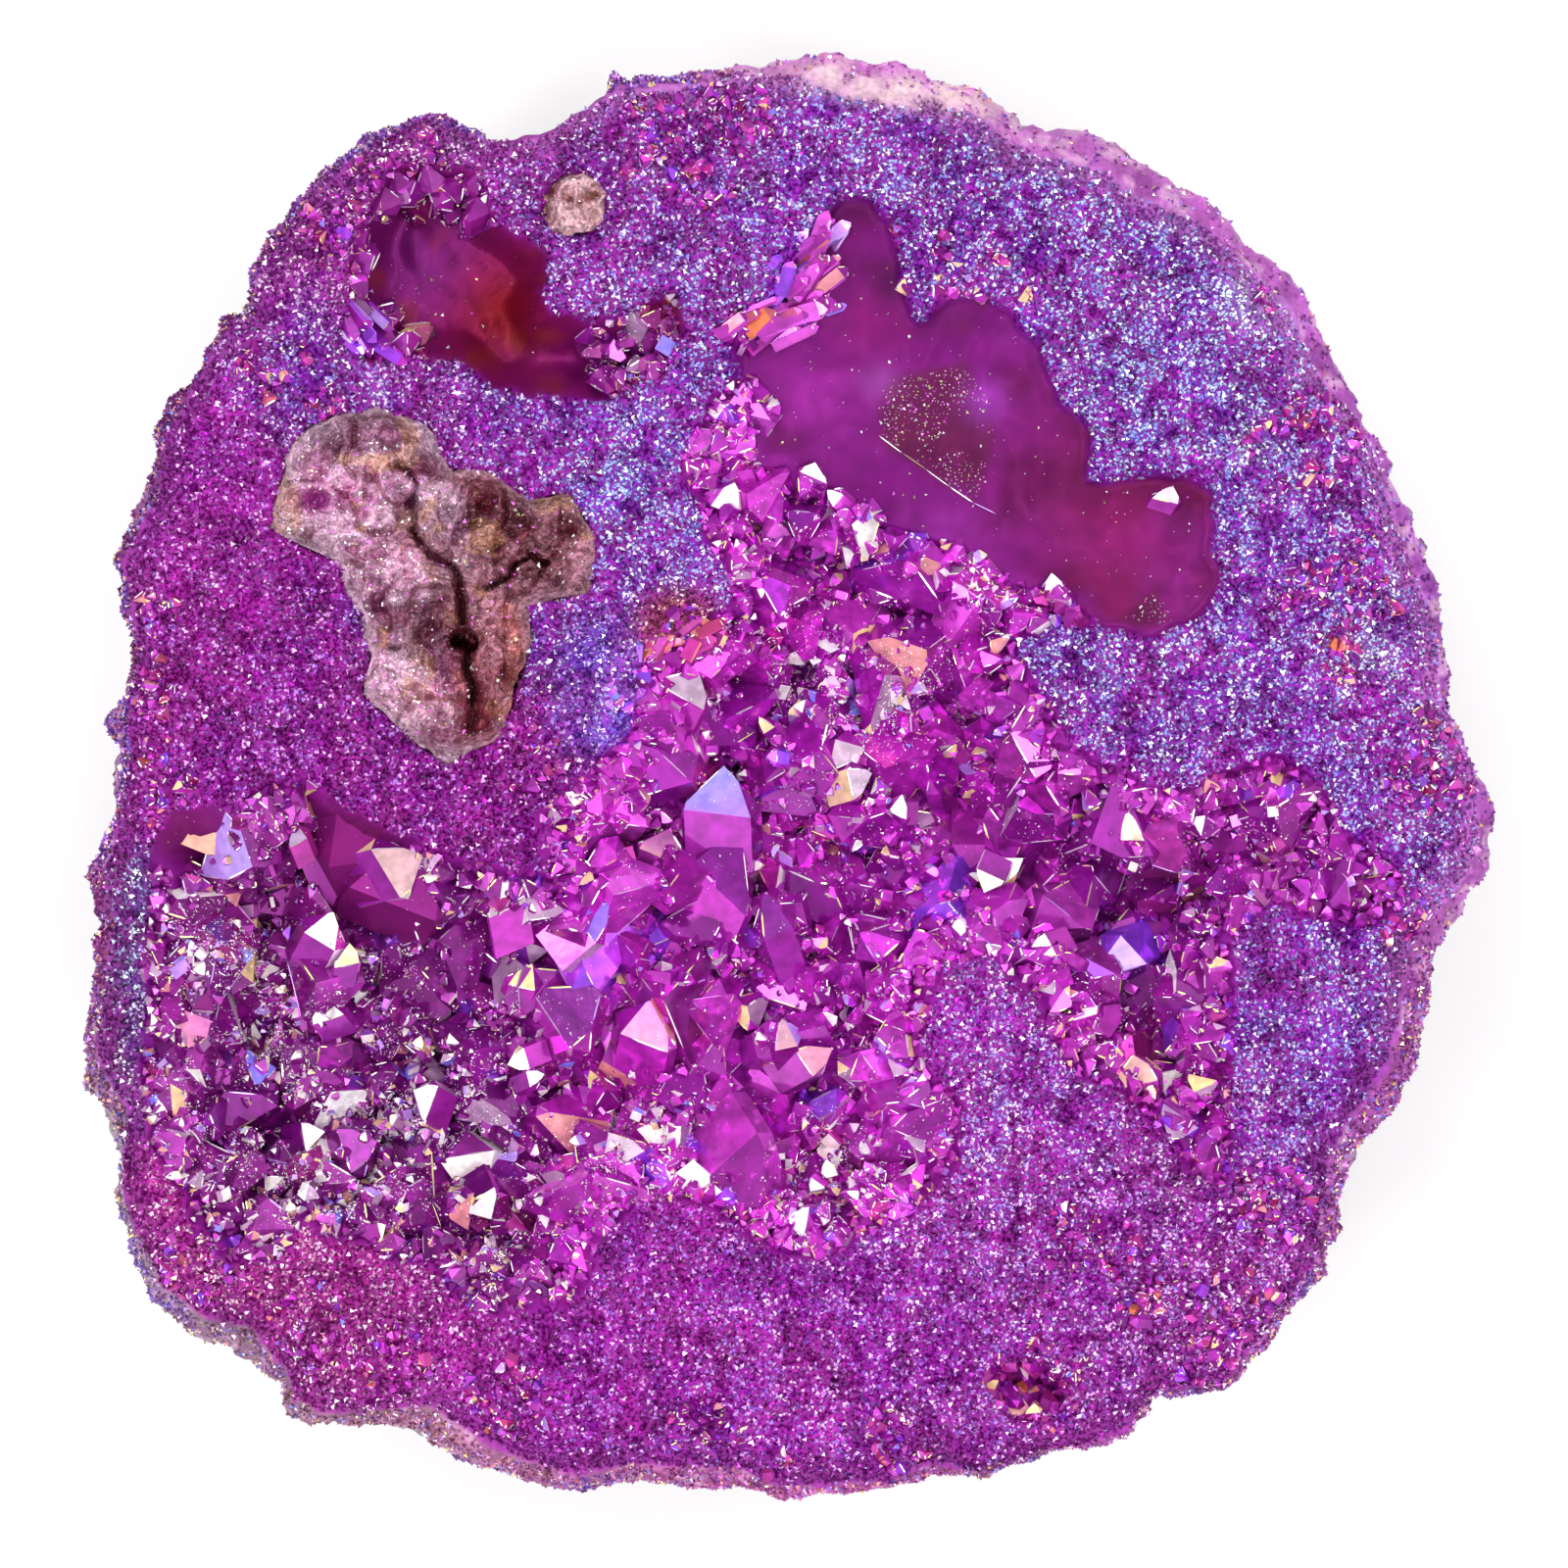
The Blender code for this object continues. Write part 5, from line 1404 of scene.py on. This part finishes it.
points, faces = copies(spindle, SPINDLE, starts, leaning((ends - starts) / length[:, None],
                                                         rng.uniform(0, 2 * math.pi, count)))
# The spindles are painted white, gold and lilac: painted highlight lines.
film = np.clip(choose({"white": 9, "gold": 4, "lilac": 1}, (count, 1)), 0, 1).repeat(9, axis=1)
make_piece("bright_edges", points, faces, corner_film(SPINDLE, np.zeros(8), film, film),
           bright_finish)

# %% Specks on the faces
SPECKS, SPECK_DEPTH = 48000, 15.0


def speckled(middle, out):
    """More specks where slow noise is high, most of all in the silvery places."""
    near = look_up(silver, middle[:, 0], middle[:, 1])
    share = 0.25 + 2.0 * ease((rough(*middle.T, 2.4, 201) - 0.1) / 0.5)
    share += 24.0 * near * ease(0.4 + rough(*middle.T, 1.8, 205))
    return share * (out[:, 2] > 0.15) * (middle[:, 2] > FACE - SPECK_DEPTH)


place, out = scatter(dressed, SPECKS, speckled)
# Specks painted white, lilac and gold: painted glints.
speck = np.clip(choose({"white": 9, "lilac": 3, "gold": 2}, SPECKS), 0, 1)
size = 0.05 + 0.05 * rng.random(SPECKS) + 0.16 * rng.random(SPECKS) ** 5
lay_grains("specks", place, out, size, speck, speck, 0.5, highlight_finish)

# %% Frost on the wide faces of the calm places
# Name, step, where it lies, its share of the places there, its colours and its largest size. The
# white, gold, pink and orange grains are painted glints on the frosting.
for name, step, wanted, chance, weights, large in (
        ("frost", 0.3, np.minimum(in_main - 0.8, calm - 0.75),
         lambda x, y: 0.8 * (inward_at(SPARKLY, x, y) > 0) * ease(0.7 + rough(x, y, 0, 2.2, 207)),
         {"white": 5, "gold": 4, "pink": 6}, 0.15),
        ("pocket_frost", 0.42, np.minimum(in_pocket - 0.6, calm - 0.6),
         lambda x, y: 0.5 * bell(x, y, -32, 37, 3),
         {"white": 4, "gold": 6, "orange": 3, "pink": 4}, 0.16)):
    x, y = jittered(step, wanted)
    kept = rng.random(len(x)) < 0.03 + chance(x, y)
    x, y = x[kept], y[kept]
    frost = np.clip(choose(weights, len(x)), 0, 1)
    lay_grains(name, on_relief(x, y, 0.03), UP, 0.06 + large * rng.random(len(x)) ** 3,
               frost * 0.5, frost, 0.5, highlight_finish)

# %% [markdown]
# ## The stage
# A pale floor, soft lights from several sides and a camera that looks straight down at the cut,
# as for a specimen laid on a copy stand. The lights are hidden from the camera itself.

# %% Floor, lights and camera
scene = bpy.context.scene
scene.view_settings.view_transform = "Standard"


def show(name, data):
    """Put an object with this mesh, lamp or camera into the scene."""
    thing = bpy.data.objects.new(name, data)
    scene.collection.objects.link(thing)
    return thing


floor_mesh = bpy.data.meshes.new("floor")
floor_mesh.from_pydata([(-3, -3, 0), (3, -3, 0), (3, 3, 0), (-3, 3, 0)], [], [(0, 1, 2, 3)])
floor_mesh.materials.append(start_material("pale_floor", {
    "Base Color": (0.92, 0.92, 0.92, 1.0), "Roughness": 0.9, "Specular IOR Level": 0.1})[0])
show("floor", floor_mesh)

# Lights: name, direction in degrees (from +X, above the horizon), distance, side and watts.
LIGHTS = [("key", 125, 58, 0.75, 0.34, 1.2), ("right", 15, 45, 0.75, 0.12, 0.6),
          ("low_left", 215, 40, 0.75, 0.10, 0.6), ("back", 75, 35, 0.8, 0.10, 0.5),
          ("front", 290, 50, 0.8, 0.10, 0.5), ("high", 200, 72, 0.75, 0.10, 0.5),
          ("high_right", 330, 68, 0.75, 0.10, 0.5)]
for name, turn, lift, distance, side_length, watts in LIGHTS:
    turn, lift = math.radians(turn), math.radians(lift)
    lamp = bpy.data.lights.new(name, "AREA")
    lamp.size, lamp.energy = side_length, watts
    holder = show(name, lamp)
    holder.location = (0.0, 0.0, FACE * MM) + distance * toward(math.pi / 2 - lift, turn)
    holder.rotation_euler = (math.pi / 2 - lift, 0.0, turn + math.pi / 2)
    holder.visible_camera = False
print(len(LIGHTS), "lights")

# White all round for the camera. Everything else sees softly brighter and darker screens.
world = bpy.data.worlds.new("studio")
world.use_nodes = True
studio = world.node_tree
way_out = add_node(studio, "ShaderNodeTexCoord")
screens = add_node(studio, "ShaderNodeTexNoise", {"Scale": 2.6, "Detail": 1.0},
                   {"Vector": (way_out, "Generated")})
level = add_node(studio, "ShaderNodeMapRange", {
    "From Min": 0.42, "From Max": 0.58, "To Min": 0.4, "To Max": 1.7}, {"Value": (screens, "Fac")})
rays = add_node(studio, "ShaderNodeLightPath")
behind = add_node(studio, "ShaderNodeMix", {"data_type": "FLOAT", 3: 1.0},
                  {0: (rays, "Is Camera Ray"), 2: (level, "Result")})
studio.nodes["Background"].inputs["Color"].default_value = (1.0, 1.0, 1.0, 1.0)
studio.links.new(behind.outputs[0], studio.nodes["Background"].inputs["Strength"])
scene.world = world

VIEW_WIDTH, HEIGHT_OVER_FACE, SENSOR = 0.1248, 0.5, 36.0
camera_data = bpy.data.cameras.new("camera")
camera_data.sensor_width = SENSOR
camera_data.lens = SENSOR * HEIGHT_OVER_FACE / VIEW_WIDTH
camera = show("camera", camera_data)
camera.location = (-0.47 * MM, -0.70 * MM, FACE * MM + HEIGHT_OVER_FACE)
scene.camera = camera
